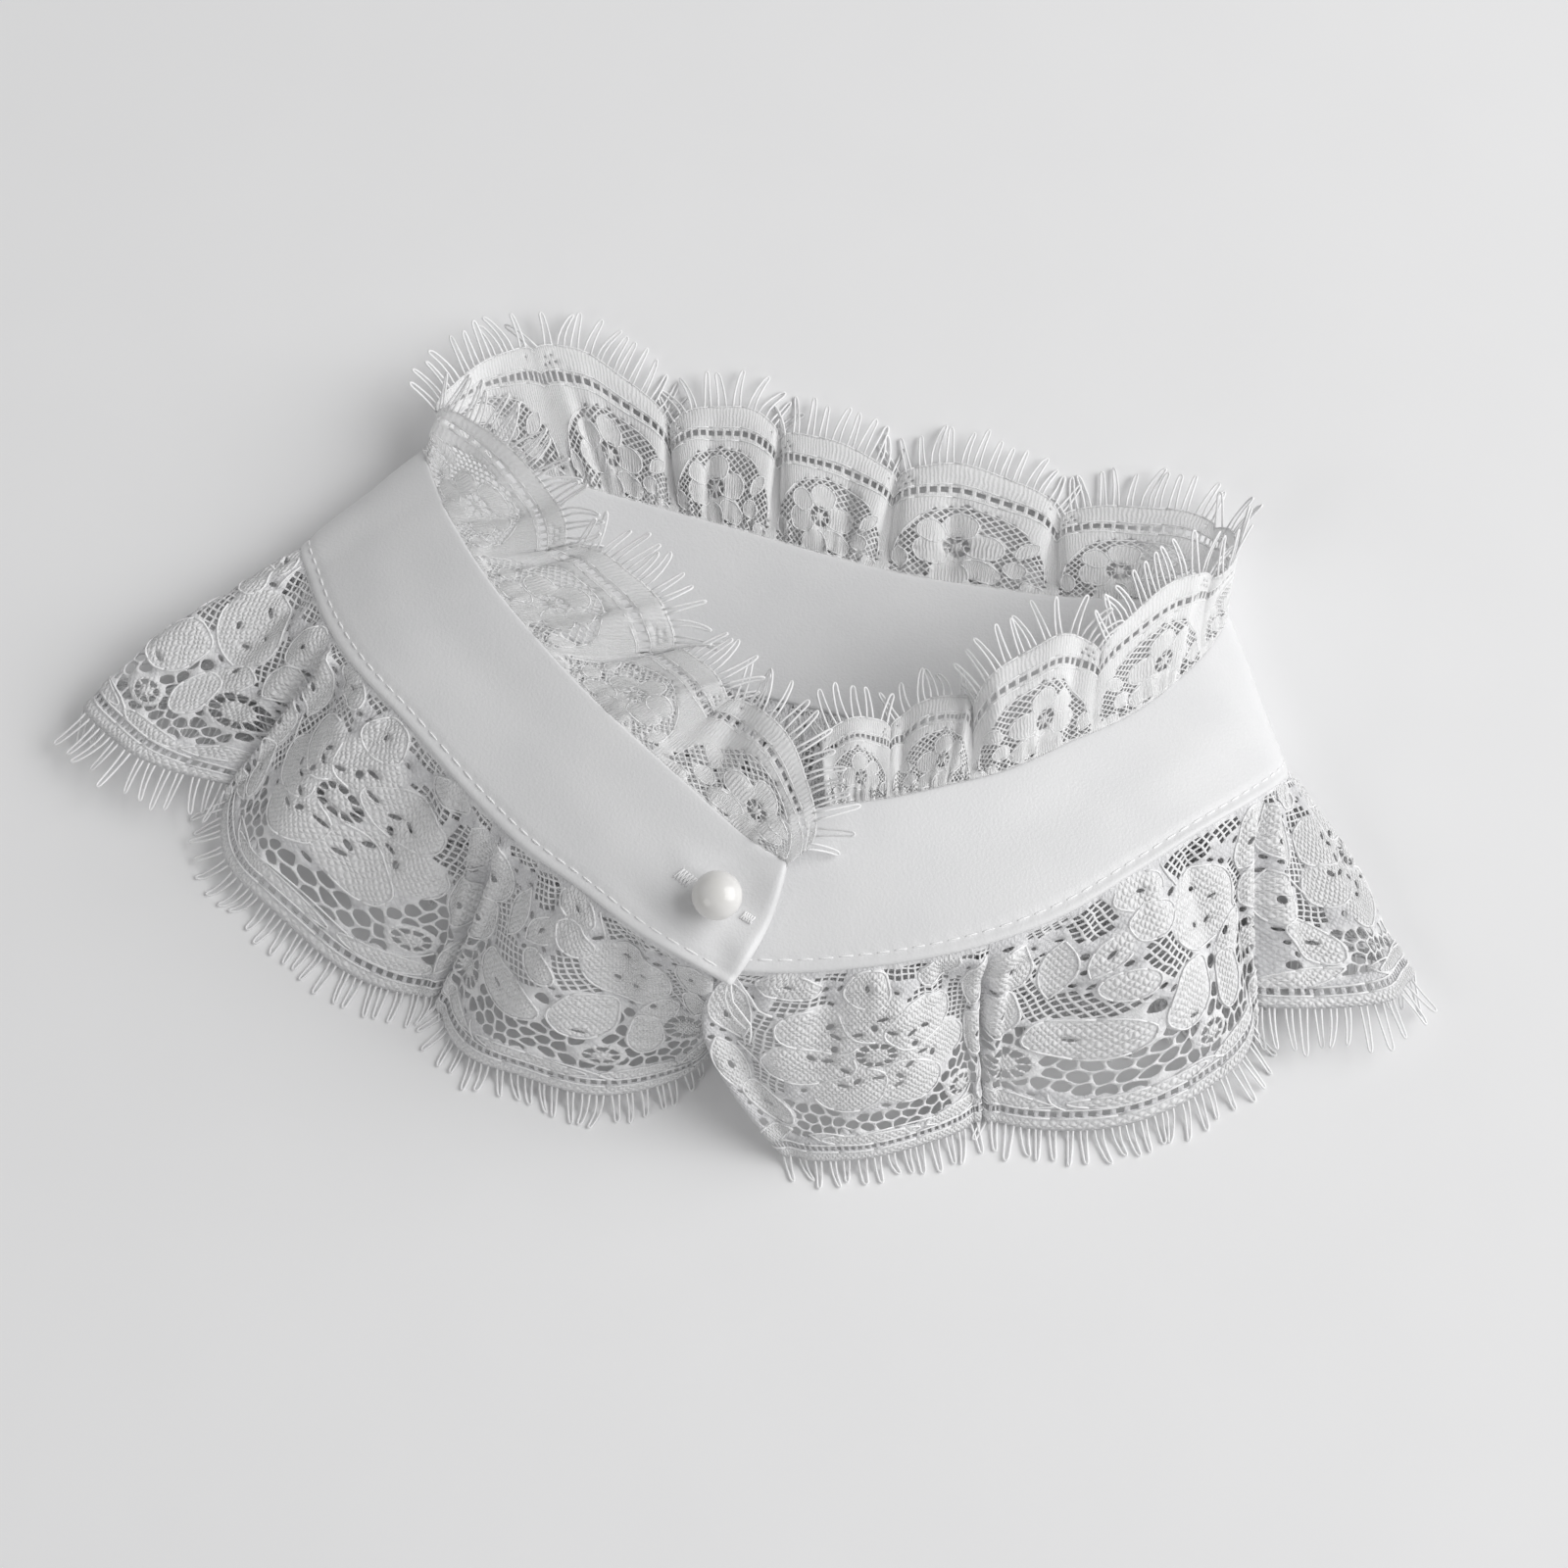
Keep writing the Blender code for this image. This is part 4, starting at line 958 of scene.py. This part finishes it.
UPPER_ROSETTES = [(17.0, 8.0, 0.9, 2.3, 8)]
UPPER_MOTIFS = [
    (12.8, 3.4, 3.4, 2.1, 20.0, PETAL), (18.0, 1.8, 3.2, 3.2, 10.0, ROUND),
    (21.4, 6.6, 3.2, 2.7, 20.0, PETAL), (12.8, 8.6, 3.2, 2.6, 170.0, PETAL),
    (16.4, 12.4, 2.8, 2.5, 85.0, PETAL), (21.2, 10.8, 2.6, 2.2, 45.0, PETAL),
    (6.2, 10.4, 3.0, 1.4, 125.0, LEAF), (7.4, 5.0, 2.0, 1.8, 0.0, ROUND),
    (26.8, 4.4, 2.6, 1.5, 80.0, LEAF), (3.6, 1.2, 2.2, 1.4, 20.0, ROUND),
]
UPPER_GAPS = [(15.0, 0.0, 13.9, 17.0, 0.0, ROUND)]
UPPER_SLITS = [(24.5, 22.6, 0.7, 0.6, 0.0), (26.0, 22.4, 0.7, 0.6, 0.0), (25.2, 23.8, 0.7, 0.5, 0.0),
               (27.4, 22.2, 0.7, 0.6, 0.0), (26.8, 23.6, 0.6, 0.5, 0.0), (4.6, 23.8, 0.6, 0.5, 0.0)]


def upper_scallop():
    """One flat scallop of the narrow lace."""
    rings, rounds = rosettes_of(UPPER_ROSETTES, 0.34)
    motifs = np.array(UPPER_MOTIFS + rounds, dtype=float)
    gaps = np.array(UPPER_GAPS, dtype=float)
    fine = net_cells(UPPER_WIDTH, UPPER_TALL, 1.1, 0.3, 4, 45.0, 0.07, 1.0)
    fine = clear_of(fine, gaps, motifs, 0.18, (0.9, 0.7, UPPER_WIDTH - 0.9, 17.2), 0.2)
    rungs = ladder(UPPER_WIDTH, 18.9, 21.0, 1.6, 0.66, 0.5)
    return cut_flat(UPPER_WIDTH, UPPER_TALL, 1.2, [fine, rungs] + rings + slits_of(UPPER_SLITS),
                    motifs, gaps)


FLOWER_FLAT = lower_scallop(FLOWER_MOTIFS, FLOWER_ROSETTES, FLOWER_SLITS, FLOWER_COARSE,
                            FLOWER_FINE, 10.0, 21)
OPEN_FLAT = lower_scallop(OPEN_MOTIFS, OPEN_ROSETTES, OPEN_SLITS, OPEN_COARSE, OPEN_FINE, -25.0, 22)
UPPER_FLAT = upper_scallop()
print("flat scallops:", [len(f[1]) for f in (FLOWER_FLAT, OPEN_FLAT, UPPER_FLAT)], "triangles")

# %% [markdown]
# ## Drape the lace
# Each flat scallop is laid on the draped surface: its width becomes the way along the strip and
# its height the way down. The clothwork is raised a little over the net. A thin wall is then
# given to the sheet, so that every hole has its own edge.

# %% The lace sheets
SHEET_WALL = 0.34 * MM


def drape(name, lace, flats, first, last, width, rise, node, material):
    """The lace from one scallop joint to another, as a thin wall with real holes."""
    corners, faces, thick, pale, flat_map, at = [], [], [], [], [], 0
    for k in range(first, last):
        flat, tris, clothwork, tone = flats[k % len(flats)]
        s = k + flat[:, 0] / width
        point, normal, _ = lace.surface(s, flat[:, 1] * MM / lace.depth)
        corners.append(point + normal * (clothwork * rise)[:, None])
        faces.append(tris + at)
        thick.append(clothwork)
        pale.append(tone)
        flat_map.append(np.stack([k * width + flat[:, 0], flat[:, 1]], axis=1) * 0.01)
        at += len(flat)
    corners, faces = np.concatenate(corners), np.concatenate(faces)
    corners[:, 2] = np.maximum(corners[:, 2], SHEET_WALL)
    if lace.side < 0:
        faces = faces[:, ::-1]
    piece = new_piece(name, corners, faces.tolist(), material)
    for title, values in (("clothwork", thick), ("pale", pale)):
        attribute = piece.data.attributes.new(title, "FLOAT", "POINT")
        attribute.data.foreach_set("value", np.concatenate(values).astype(np.float32))
    uv = piece.data.uv_layers.new(name="lace")
    loops = np.zeros(len(piece.data.loops), np.int32)
    piece.data.loops.foreach_get("vertex_index", loops)
    uv.data.foreach_set("uv", np.concatenate(flat_map)[loops].astype(np.float32).ravel())
    bm = bmesh.new()
    bm.from_mesh(piece.data)
    bmesh.ops.remove_doubles(bm, verts=bm.verts, dist=0.01 * MM)
    bm.to_mesh(piece.data)
    bm.free()
    wall = piece.modifiers.new("wall", "SOLIDIFY")
    wall.thickness = SHEET_WALL
    wall.offset = 0.0
    apply_modifier(piece, wall)
    piece.data.shade_smooth()
    dress(piece, [node])
    return piece


lower_flats = [FLOWER_FLAT, OPEN_FLAT]
middle_joint = lower.scallops // 2
flounce_right = drape("flounce_lace_right", lower, lower_flats, 0, middle_joint,
                      LOWER_WIDTH, 0.45 * MM, "lower_flounce_right", LACE)
flounce_left = drape("flounce_lace_left", lower, lower_flats, middle_joint, lower.scallops,
                     LOWER_WIDTH, 0.45 * MM, "lower_flounce_left", LACE)
ruffle = drape("ruffle_lace", upper, [UPPER_FLAT], 0, upper.scallops, UPPER_WIDTH,
               0.16 * MM, "upper_ruffle", RIBBED_LACE)

# %% [markdown]
# Thicker threads outline each motif and stand a little over the cloth. They are drawn round the
# motifs' edges as thin round tubes, and left out where a later motif lies over them. More of
# them run as veins through the border and as cords beside its row of holes.

# %% Outline threads
OUTLINE_POINTS = 33
VEIN_STEP = 1.6
VEIN_COLUMNS = "x0 y0 x1 y1 bow"
CORDS = [(0.0, 48.9, 50.0, 48.9, 0.0), (0.0, 51.0, 50.0, 51.0, 0.0), (0.0, 53.6, 50.0, 53.6, 0.0)]
FLOWER_VEINS = CORDS + [
    (2.0, 42.0, 9.0, 48.9, 1.2), (14.0, 45.5, 22.0, 48.9, 1.4), (22.0, 45.8, 34.0, 45.8, -0.7),
    (34.0, 45.5, 29.0, 48.9, 1.0), (44.0, 41.5, 40.0, 48.9, -1.2), (44.0, 43.0, 49.8, 47.0, 0.8),
    (36.0, 45.0, 44.0, 42.0, 1.0), (14.0, 45.5, 20.0, 45.8, -0.6), (0.2, 4.0, 9.5, 26.0, 1.5),
]
OPEN_VEINS = CORDS + [
    (0.3, 44.0, 8.0, 48.9, 1.0), (9.0, 45.6, 29.0, 45.9, 1.0), (24.0, 45.9, 32.0, 48.9, -1.2),
    (29.0, 45.9, 44.0, 45.2, 1.2), (37.0, 45.8, 39.0, 48.9, 0.8), (44.0, 45.2, 49.8, 48.0, -1.0),
    (44.0, 38.5, 49.8, 43.0, 1.4), (28.0, 1.0, 41.0, 22.0, 2.6), (12.0, 45.0, 14.0, 48.9, 0.6),
]
UPPER_VEINS = [
    (0.0, 18.4, 30.0, 18.4, 0.0), (0.0, 21.2, 30.0, 21.2, 0.0), (0.0, 25.7, 30.0, 25.7, 0.0),
    (1.8, 3.0, 7.0, 14.0, 1.6), (7.0, 14.0, 15.0, 16.4, 0.6), (15.0, 16.4, 23.0, 14.0, 0.6),
    (23.0, 14.0, 28.2, 3.0, 1.6), (13.0, 6.2, 9.2, 1.0, 0.5),
]


def vein_points(row):
    """Points along a bowed line, four steps to each short thread."""
    x0, y0, x1, y1, bow = row
    long = math.hypot(x1 - x0, y1 - y0)
    t = np.linspace(0, 1, 4 * max(1, round(long / 4 / VEIN_STEP)) + 1)[:, None]
    start, end = np.array([x0, y0]), np.array([x1, y1])
    side = np.array([y0 - y1, x1 - x0]) / long
    return start + (end - start) * t + side * bow * np.sin(np.pi * t)


def outlines(name, lace, motif_sets, vein_sets, width, top, radius, rise):
    """The outline threads and veins of every scallop, joined in one piece."""
    paths, normals = [], []
    for k in range(lace.scallops):
        rows = np.array(motif_sets[k % len(motif_sets)], dtype=float)
        runs = []
        for m, motif in enumerate(rows):
            edge = motif_edge(motif, OUTLINE_POINTS)
            shown = (edge[:, 0] > 0.3) & (edge[:, 0] < width - 0.3)
            shown &= (edge[:, 1] > 0.5) & (edge[:, 1] < top)
            if m + 1 < len(rows):
                shown &= distances(edge, rows[m + 1:]).min(axis=1) > -0.1
            runs.append((edge, shown))
        for row in vein_sets[k % len(vein_sets)]:
            vein = vein_points(row)
            covered = distances(vein, rows).min(axis=1) < -0.3
            runs.append((vein, ~covered))
        for run, shown in runs:
            place = k + run[:, 0].clip(0, width) / width
            point, normal, _ = lace.surface(place, run[:, 1] * MM / lace.depth)
            for j in range(0, len(run) - 1, 4):
                if shown[j:j + 5].all():
                    side = normal[j:j + 5] * np.where(normal[j:j + 5, 2:].mean() < 0, -1.0, 1.0)
                    paths.append(point[j:j + 5] + side * rise)
                    normals.append(side)
    paths = np.array(paths)
    paths[..., 2] = np.maximum(paths[..., 2], 1.5 * radius)
    corners, faces = tubes(paths, np.array(normals), radius, 4)
    piece = new_piece(name, corners, faces, THREAD)
    dress(piece, [])
    return piece


lower_outlines = outlines("flounce_outline_threads", lower, [FLOWER_MOTIFS, OPEN_MOTIFS],
                          [FLOWER_VEINS, OPEN_VEINS], LOWER_WIDTH, 49.0, 0.23 * MM, 0.5 * MM)
upper_outlines = outlines("ruffle_outline_threads", upper, [UPPER_MOTIFS], [UPPER_VEINS],
                          UPPER_WIDTH, 18.0, 0.13 * MM, 0.2 * MM)

# %% [markdown]
# ## The eyelash fringe
# The fringe is a row of hairpin loops of loose thread. Each is about 8 mm long and no two lie
# quite alike, so each gets its own length, lean and curl from a seeded draw.

# %% Eyelash loops
LASH_LEG = np.array([0.0, 0.3, 0.55, 0.78])
LASH_GAP = 1.65 * MM
LASH_RADIUS = 0.26 * MM
LASH_LIFT = 0.3 * MM


def lash_path():
    """One hairpin loop in its own flat frame: x across, y outward, as shares of its sizes."""
    bend = np.linspace(np.pi, 0, 7)
    legs = [(-0.5, y) for y in LASH_LEG] + [(0.5 * math.cos(a), 0.88 + 0.12 * math.sin(a)) for a in bend]
    return np.array(legs + [(0.5, y) for y in LASH_LEG[::-1]])


def eyelashes(name, lace, pitch, long, wild, node, seed):
    """All the hairpin loops along one scalloped edge, evenly spaced along it."""
    draw = np.random.default_rng(seed)
    fine = np.linspace(0, lace.scallops, lace.scallops * 60 + 1)
    steps = np.linalg.norm(np.diff(lace.point(fine, np.ones(len(fine))), axis=0), axis=1)
    hem_run = np.concatenate([[0.0], np.cumsum(steps)])
    count = int(hem_run[-1] / pitch)
    middles = (np.arange(count) + 0.5 + draw.uniform(-0.1, 0.1, count)) * hem_run[-1] / count
    s = np.interp(middles, hem_run, fine)
    middle, normal, along = lace.surface(s, np.ones(count))
    inward = lace.point(s, np.full(count, 0.85))
    out = middle - inward
    out = unit(out - along * np.sum(out * along, axis=1)[:, None] * 0.7)
    length = long * draw.uniform(0.85, 1.08, count)
    gap = LASH_GAP * draw.uniform(0.7, 1.2, count)
    sway = np.sin(middles / (9 * MM)) + 0.8 * np.sin(middles / (4.1 * MM) + 1.0)
    lean = (sway * 0.9 * MM + draw.normal(0, 0.7 * MM, count)) * wild
    curl = draw.normal(0.2 * MM, 0.7 * MM, count) * wild
    shape = lash_path()
    x, y = shape[:, 0][None], shape[:, 1][None]
    side = x * gap[:, None] * (1 - 0.45 * y) + lean[:, None] * y ** 2
    reach = y * length[:, None] - 0.6 * MM
    lift = curl[:, None] * y ** 2
    paths = (middle[:, None] + along[:, None] * side[..., None] + out[:, None] * reach[..., None]
             + normal[:, None] * lift[..., None])
    paths[..., 2] = np.maximum(paths[..., 2], LASH_LIFT)
    up = np.broadcast_to(normal[:, None], paths.shape)
    corners, faces = tubes(paths, up, LASH_RADIUS, 5)
    piece = new_piece(name, corners, faces, THREAD)
    dress(piece, [node])
    return piece


lower_lashes = eyelashes("flounce_eyelashes", lower, 3.2 * MM, 10.2 * MM, 1.0, "lower_fringe", 3)
upper_lashes = eyelashes("ruffle_eyelashes", upper, 3.1 * MM, 9.2 * MM, 1.5, "upper_fringe", 5)

# %% [markdown]
# ## The satin band
# The band is one strip of satin folded over an interlining, so its long edges are round and it
# is a little fuller in its middle. Small dents show where the buttonhole pulls the cloth.

# %% Band shell
BAND_HALF = 0.74 * MM
BAND_CROWN = 0.35 * MM
BAND_STEPS = 520
BAND_ACROSS_STEPS = 40
STITCH_ACROSS = 0.94
STITCH_GROOVE = 0.28 * MM
END_BOW = 1.8 * MM
END_BOW_REACH = 3.0 * MM
BUTTON_STATION = 33.42
BUTTON_RUN = float(run_at(BUTTON_STATION))
DENT_COLUMNS = "run across reach_run reach_across depth turn"
DENT_ROWS = [
    (4.5, 0.48, 7.5, 9.5, 1.9, 0), (-9.5, 0.42, 5.0, 3.0, -0.3, 20),
    (6.0, 0.86, 7.0, 3.0, 0.6, 62), (10.5, 0.82, 6.0, 2.8, -0.4, 70),
    (-6.0, 0.85, 9.0, 3.5, 0.6, 10), (-4.0, 0.16, 9.0, 3.0, 0.5, -25), (-34.0, 0.55, 20.0, 7.0, -0.35, 8),
    (-70.0, 0.4, 24.0, 6.0, 0.3, -6), (-105.0, 0.6, 22.0, 7.0, -0.35, 5),
    (-140.0, 0.45, 18.0, 6.0, 0.35, 12), (-380.0, 0.5, 26.0, 7.0, -0.35, 0),
    (-420.0, 0.4, 24.0, 7.0, 0.35, 6), (-345.0, 0.6, 22.0, 8.0, 0.35, -8),
]


def band_relief(run, across):
    """How far the satin stands out of its plain form: dents, soft waves and puckers."""
    dents = table(DENT_COLUMNS, DENT_ROWS)
    rise = np.zeros(len(run))
    for k in range(len(dents["run"])):
        turn = math.radians(dents["turn"][k])
        u = (run - BUTTON_RUN) / MM - dents["run"][k]
        v = (across - dents["across"][k]) * BAND_WIDTH / MM
        along, side = u * math.cos(turn) + v * math.sin(turn), v * math.cos(turn) - u * math.sin(turn)
        near = np.exp(-(along / dents["reach_run"][k]) ** 2 - (side / dents["reach_across"][k]) ** 2)
        rise -= dents["depth"][k] * MM * near
    stitch = np.exp(-((across - STITCH_ACROSS) / 0.045) ** 2)
    pucker = np.sin(2 * np.pi * run / (3.5 * MM)) * 0.05 * MM
    return rise + pucker * stitch


def band_shell():
    """The folded satin strip as one closed shell."""
    run = np.linspace(0, BAND_RUN[-1], BAND_STEPS)
    share = np.linspace(0, 1, BAND_ACROSS_STEPS)
    fold = np.linspace(-np.pi / 2, np.pi / 2, 7)[1:-1]
    rings = []
    tip = 0.7 * MM / BAND_WIDTH
    crown = BAND_HALF + BAND_CROWN * (1 - (2 * share - 1) ** 4)
    groove = STITCH_GROOVE * np.exp(-((share - STITCH_ACROSS) / 0.02) ** 2)
    for a, h in zip(share, crown - groove):
        rings.append((a, h))
    for f in fold[::-1]:
        rings.append((1 + tip * math.cos(f), BAND_HALF * math.sin(f)))
    for a in share[::-1]:
        rings.append((a, -BAND_HALF))
    for f in fold:
        rings.append((-tip * math.cos(f), BAND_HALF * math.sin(f)))
    across = np.array([r[0] for r in rings])
    high = np.array([r[1] for r in rings])
    end = 0.8 * MM
    close = np.minimum(run, run[-1] - run).clip(0, end) / end
    round_end = np.sqrt(1 - (1 - close) ** 2).clip(0.35, 1)
    full_run, full_across = np.repeat(run, len(across)), np.tile(across, len(run))
    point, normal, along = band_frame(full_run, full_across)
    rise = np.tile(high, len(run)) * np.repeat(round_end, len(across))
    place = point + normal * (rise + band_relief(full_run, full_across.clip(0, 1)))[:, None]
    bow = (1 - (2 * full_across.clip(0, 1) - 1) ** 2) * np.exp((full_run - run[-1]) / END_BOW_REACH)
    place += along * (END_BOW * bow)[:, None]
    place[:, 2] = np.maximum(place[:, 2], 0.02 * MM)
    size = len(across)
    k = np.arange(size)
    n = (k + 1) % size
    base = (np.arange(len(run) - 1) * size)[:, None]
    quads = np.stack([base + k, base + size + k, base + size + n, base + n], axis=-1).reshape(-1, 4)
    faces = quads.tolist()
    faces.append(list(range(size)))
    faces.append([int((len(run) - 1) * size + j) for j in reversed(range(size))])
    piece = new_piece("satin_band_cloth", place, faces, SATIN)
    bm = bmesh.new()
    bm.from_mesh(piece.data)
    bmesh.ops.recalc_face_normals(bm, faces=bm.faces)
    bm.to_mesh(piece.data)
    bm.free()
    piece.data.shade_smooth()
    dress(piece, ["satin_band"])
    return piece


band = band_shell()

# %% [markdown]
# ## Stitches
# A row of topstitches runs along the lower edge of the band, and a small zigzag bar holds each
# end of the buttonhole. Each stitch is a short thread that dips into the cloth at both ends.

# %% Topstitches and bar tacks
STITCH_PITCH = 3.5 * MM
STITCH_LENGTH = 2.5 * MM
STITCH_RADIUS = 0.22 * MM
SHANK_RADIUS = 0.7 * MM
TAILS = [[(4.5, -57.5, 42.2), (6.0, -62.0, 41.6), (10.5, -65.5, 39.8), (11.0, -69.0, 38.2)],
         [(4.0, -57.8, 42.2), (4.2, -61.5, 41.2), (6.5, -64.5, 39.8), (9.6, -66.2, 38.6)],
         [(5.5, -57.0, 42.0), (9.5, -60.5, 41.4), (11.5, -62.5, 41.0), (14.5, -63.0, 40.6)]]


def thread_on_band(run, across, rise):
    """Points on the outer face of the band, raised off it."""
    point, normal, _ = band_frame(run, across)
    crown = BAND_HALF + BAND_CROWN * (1 - (2 * across - 1) ** 4)
    groove = STITCH_GROOVE * np.exp(-((across - STITCH_ACROSS) / 0.02) ** 2)
    return point + normal * (crown - groove + band_relief(run, across) + rise)[:, None], normal


def stitches():
    """The topstitches, bar tacks, button shank and loose thread ends, joined in one piece."""
    middles = np.arange(2 * MM, BAND_RUN[-1] - 2 * MM, STITCH_PITCH)
    t = np.linspace(-0.5, 0.5, 7)
    bow = (1 - (2 * t) ** 2) * 0.28 * MM - 0.12 * MM
    paths, normals = [], []
    for middle in middles:
        run = middle + t * STITCH_LENGTH
        point, normal = thread_on_band(run, np.full(7, STITCH_ACROSS), bow)
        paths.append(point)
        normals.append(normal)
    for end, tall in ((-8.4, 3.2), (6.9, 2.2)):
        for k in range(9):
            middle = BUTTON_RUN + (end + (k - 4) * 0.12 * tall) * MM
            run = middle + t * 0.5 * MM * (1 if k % 2 else -1)
            across = 0.5 + t * tall * MM / BAND_WIDTH
            point, normal = thread_on_band(run, across, bow + 0.12 * MM)
            paths.append(point)
            normals.append(normal)
    for turn in (0.8, 2.4, 4.0, 5.5):
        run = np.full(7, BUTTON_RUN + SHANK_RADIUS * math.cos(turn))
        across = np.full(7, 0.5 + SHANK_RADIUS * math.sin(turn) / BAND_WIDTH)
        point, normal, _ = band_frame(run, across)
        paths.append(point + normal * (np.linspace(-1.4, 1.4, 7) * MM)[:, None])
        normals.append(np.roll(normal, 1, axis=1))
    for tail in TAILS:
        ends = np.array(tail) * MM
        paths.append(curve(ends, np.arange(4.0), np.linspace(0, 3, 7)))
        normals.append(np.tile([0.0, 0.0, 1.0], (7, 1)))
    paths = np.array(paths)
    paths[..., 2] = np.maximum(paths[..., 2], STITCH_RADIUS)
    corners, faces = tubes(paths, np.array(normals), STITCH_RADIUS, 6)
    piece = new_piece("stitches", corners, faces, THREAD)
    dress(piece, [])
    return piece


stitching = stitches()

# %% [markdown]
# ## The pearl
# The pearl is a dome, a little flatter than a ball. It starts as a sphere, and the whole of it
# is squashed along its height in edit mode.

# %% Pearl button
PEARL_RADIUS = 5.2 * MM
PEARL_HEIGHT = 8.6 * MM


def button_frame():
    """The place of the button: X along the band, Z out of its face, origin in the cloth."""
    point, normal, along = (Vector(v[0]) for v in band_frame(np.array([BUTTON_RUN]), 0.5))
    side = normal.cross(along)
    turn = Matrix((along, side, normal)).transposed().to_4x4()
    return Matrix.Translation(point) @ turn


bpy.ops.object.select_all(action="DESELECT")
bpy.ops.mesh.primitive_uv_sphere_add(segments=64, ring_count=40, radius=PEARL_RADIUS)
pearl = bpy.context.object
pearl.name = "pearl_head"
bpy.ops.object.mode_set(mode="EDIT")
bpy.ops.mesh.select_all(action="SELECT")
bpy.ops.transform.resize(value=(1, 1, PEARL_HEIGHT / 2 / PEARL_RADIUS))
bpy.ops.object.mode_set(mode="OBJECT")
seat = BAND_WALL / 2 + GAP
pearl.data.transform(button_frame() @ Matrix.Translation((0, 0, seat + PEARL_HEIGHT / 2)))
pearl.data.materials.append(PEARL)
pearl.data.shade_smooth()
dress(pearl, ["pearl_button"])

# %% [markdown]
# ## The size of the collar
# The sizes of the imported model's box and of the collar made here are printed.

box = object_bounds()
for name, (lo, hi) in (("cad", cad_box), ("visual", box)):
    print(name, [round((b - a) / MM, 1) for a, b in zip(lo, hi)])
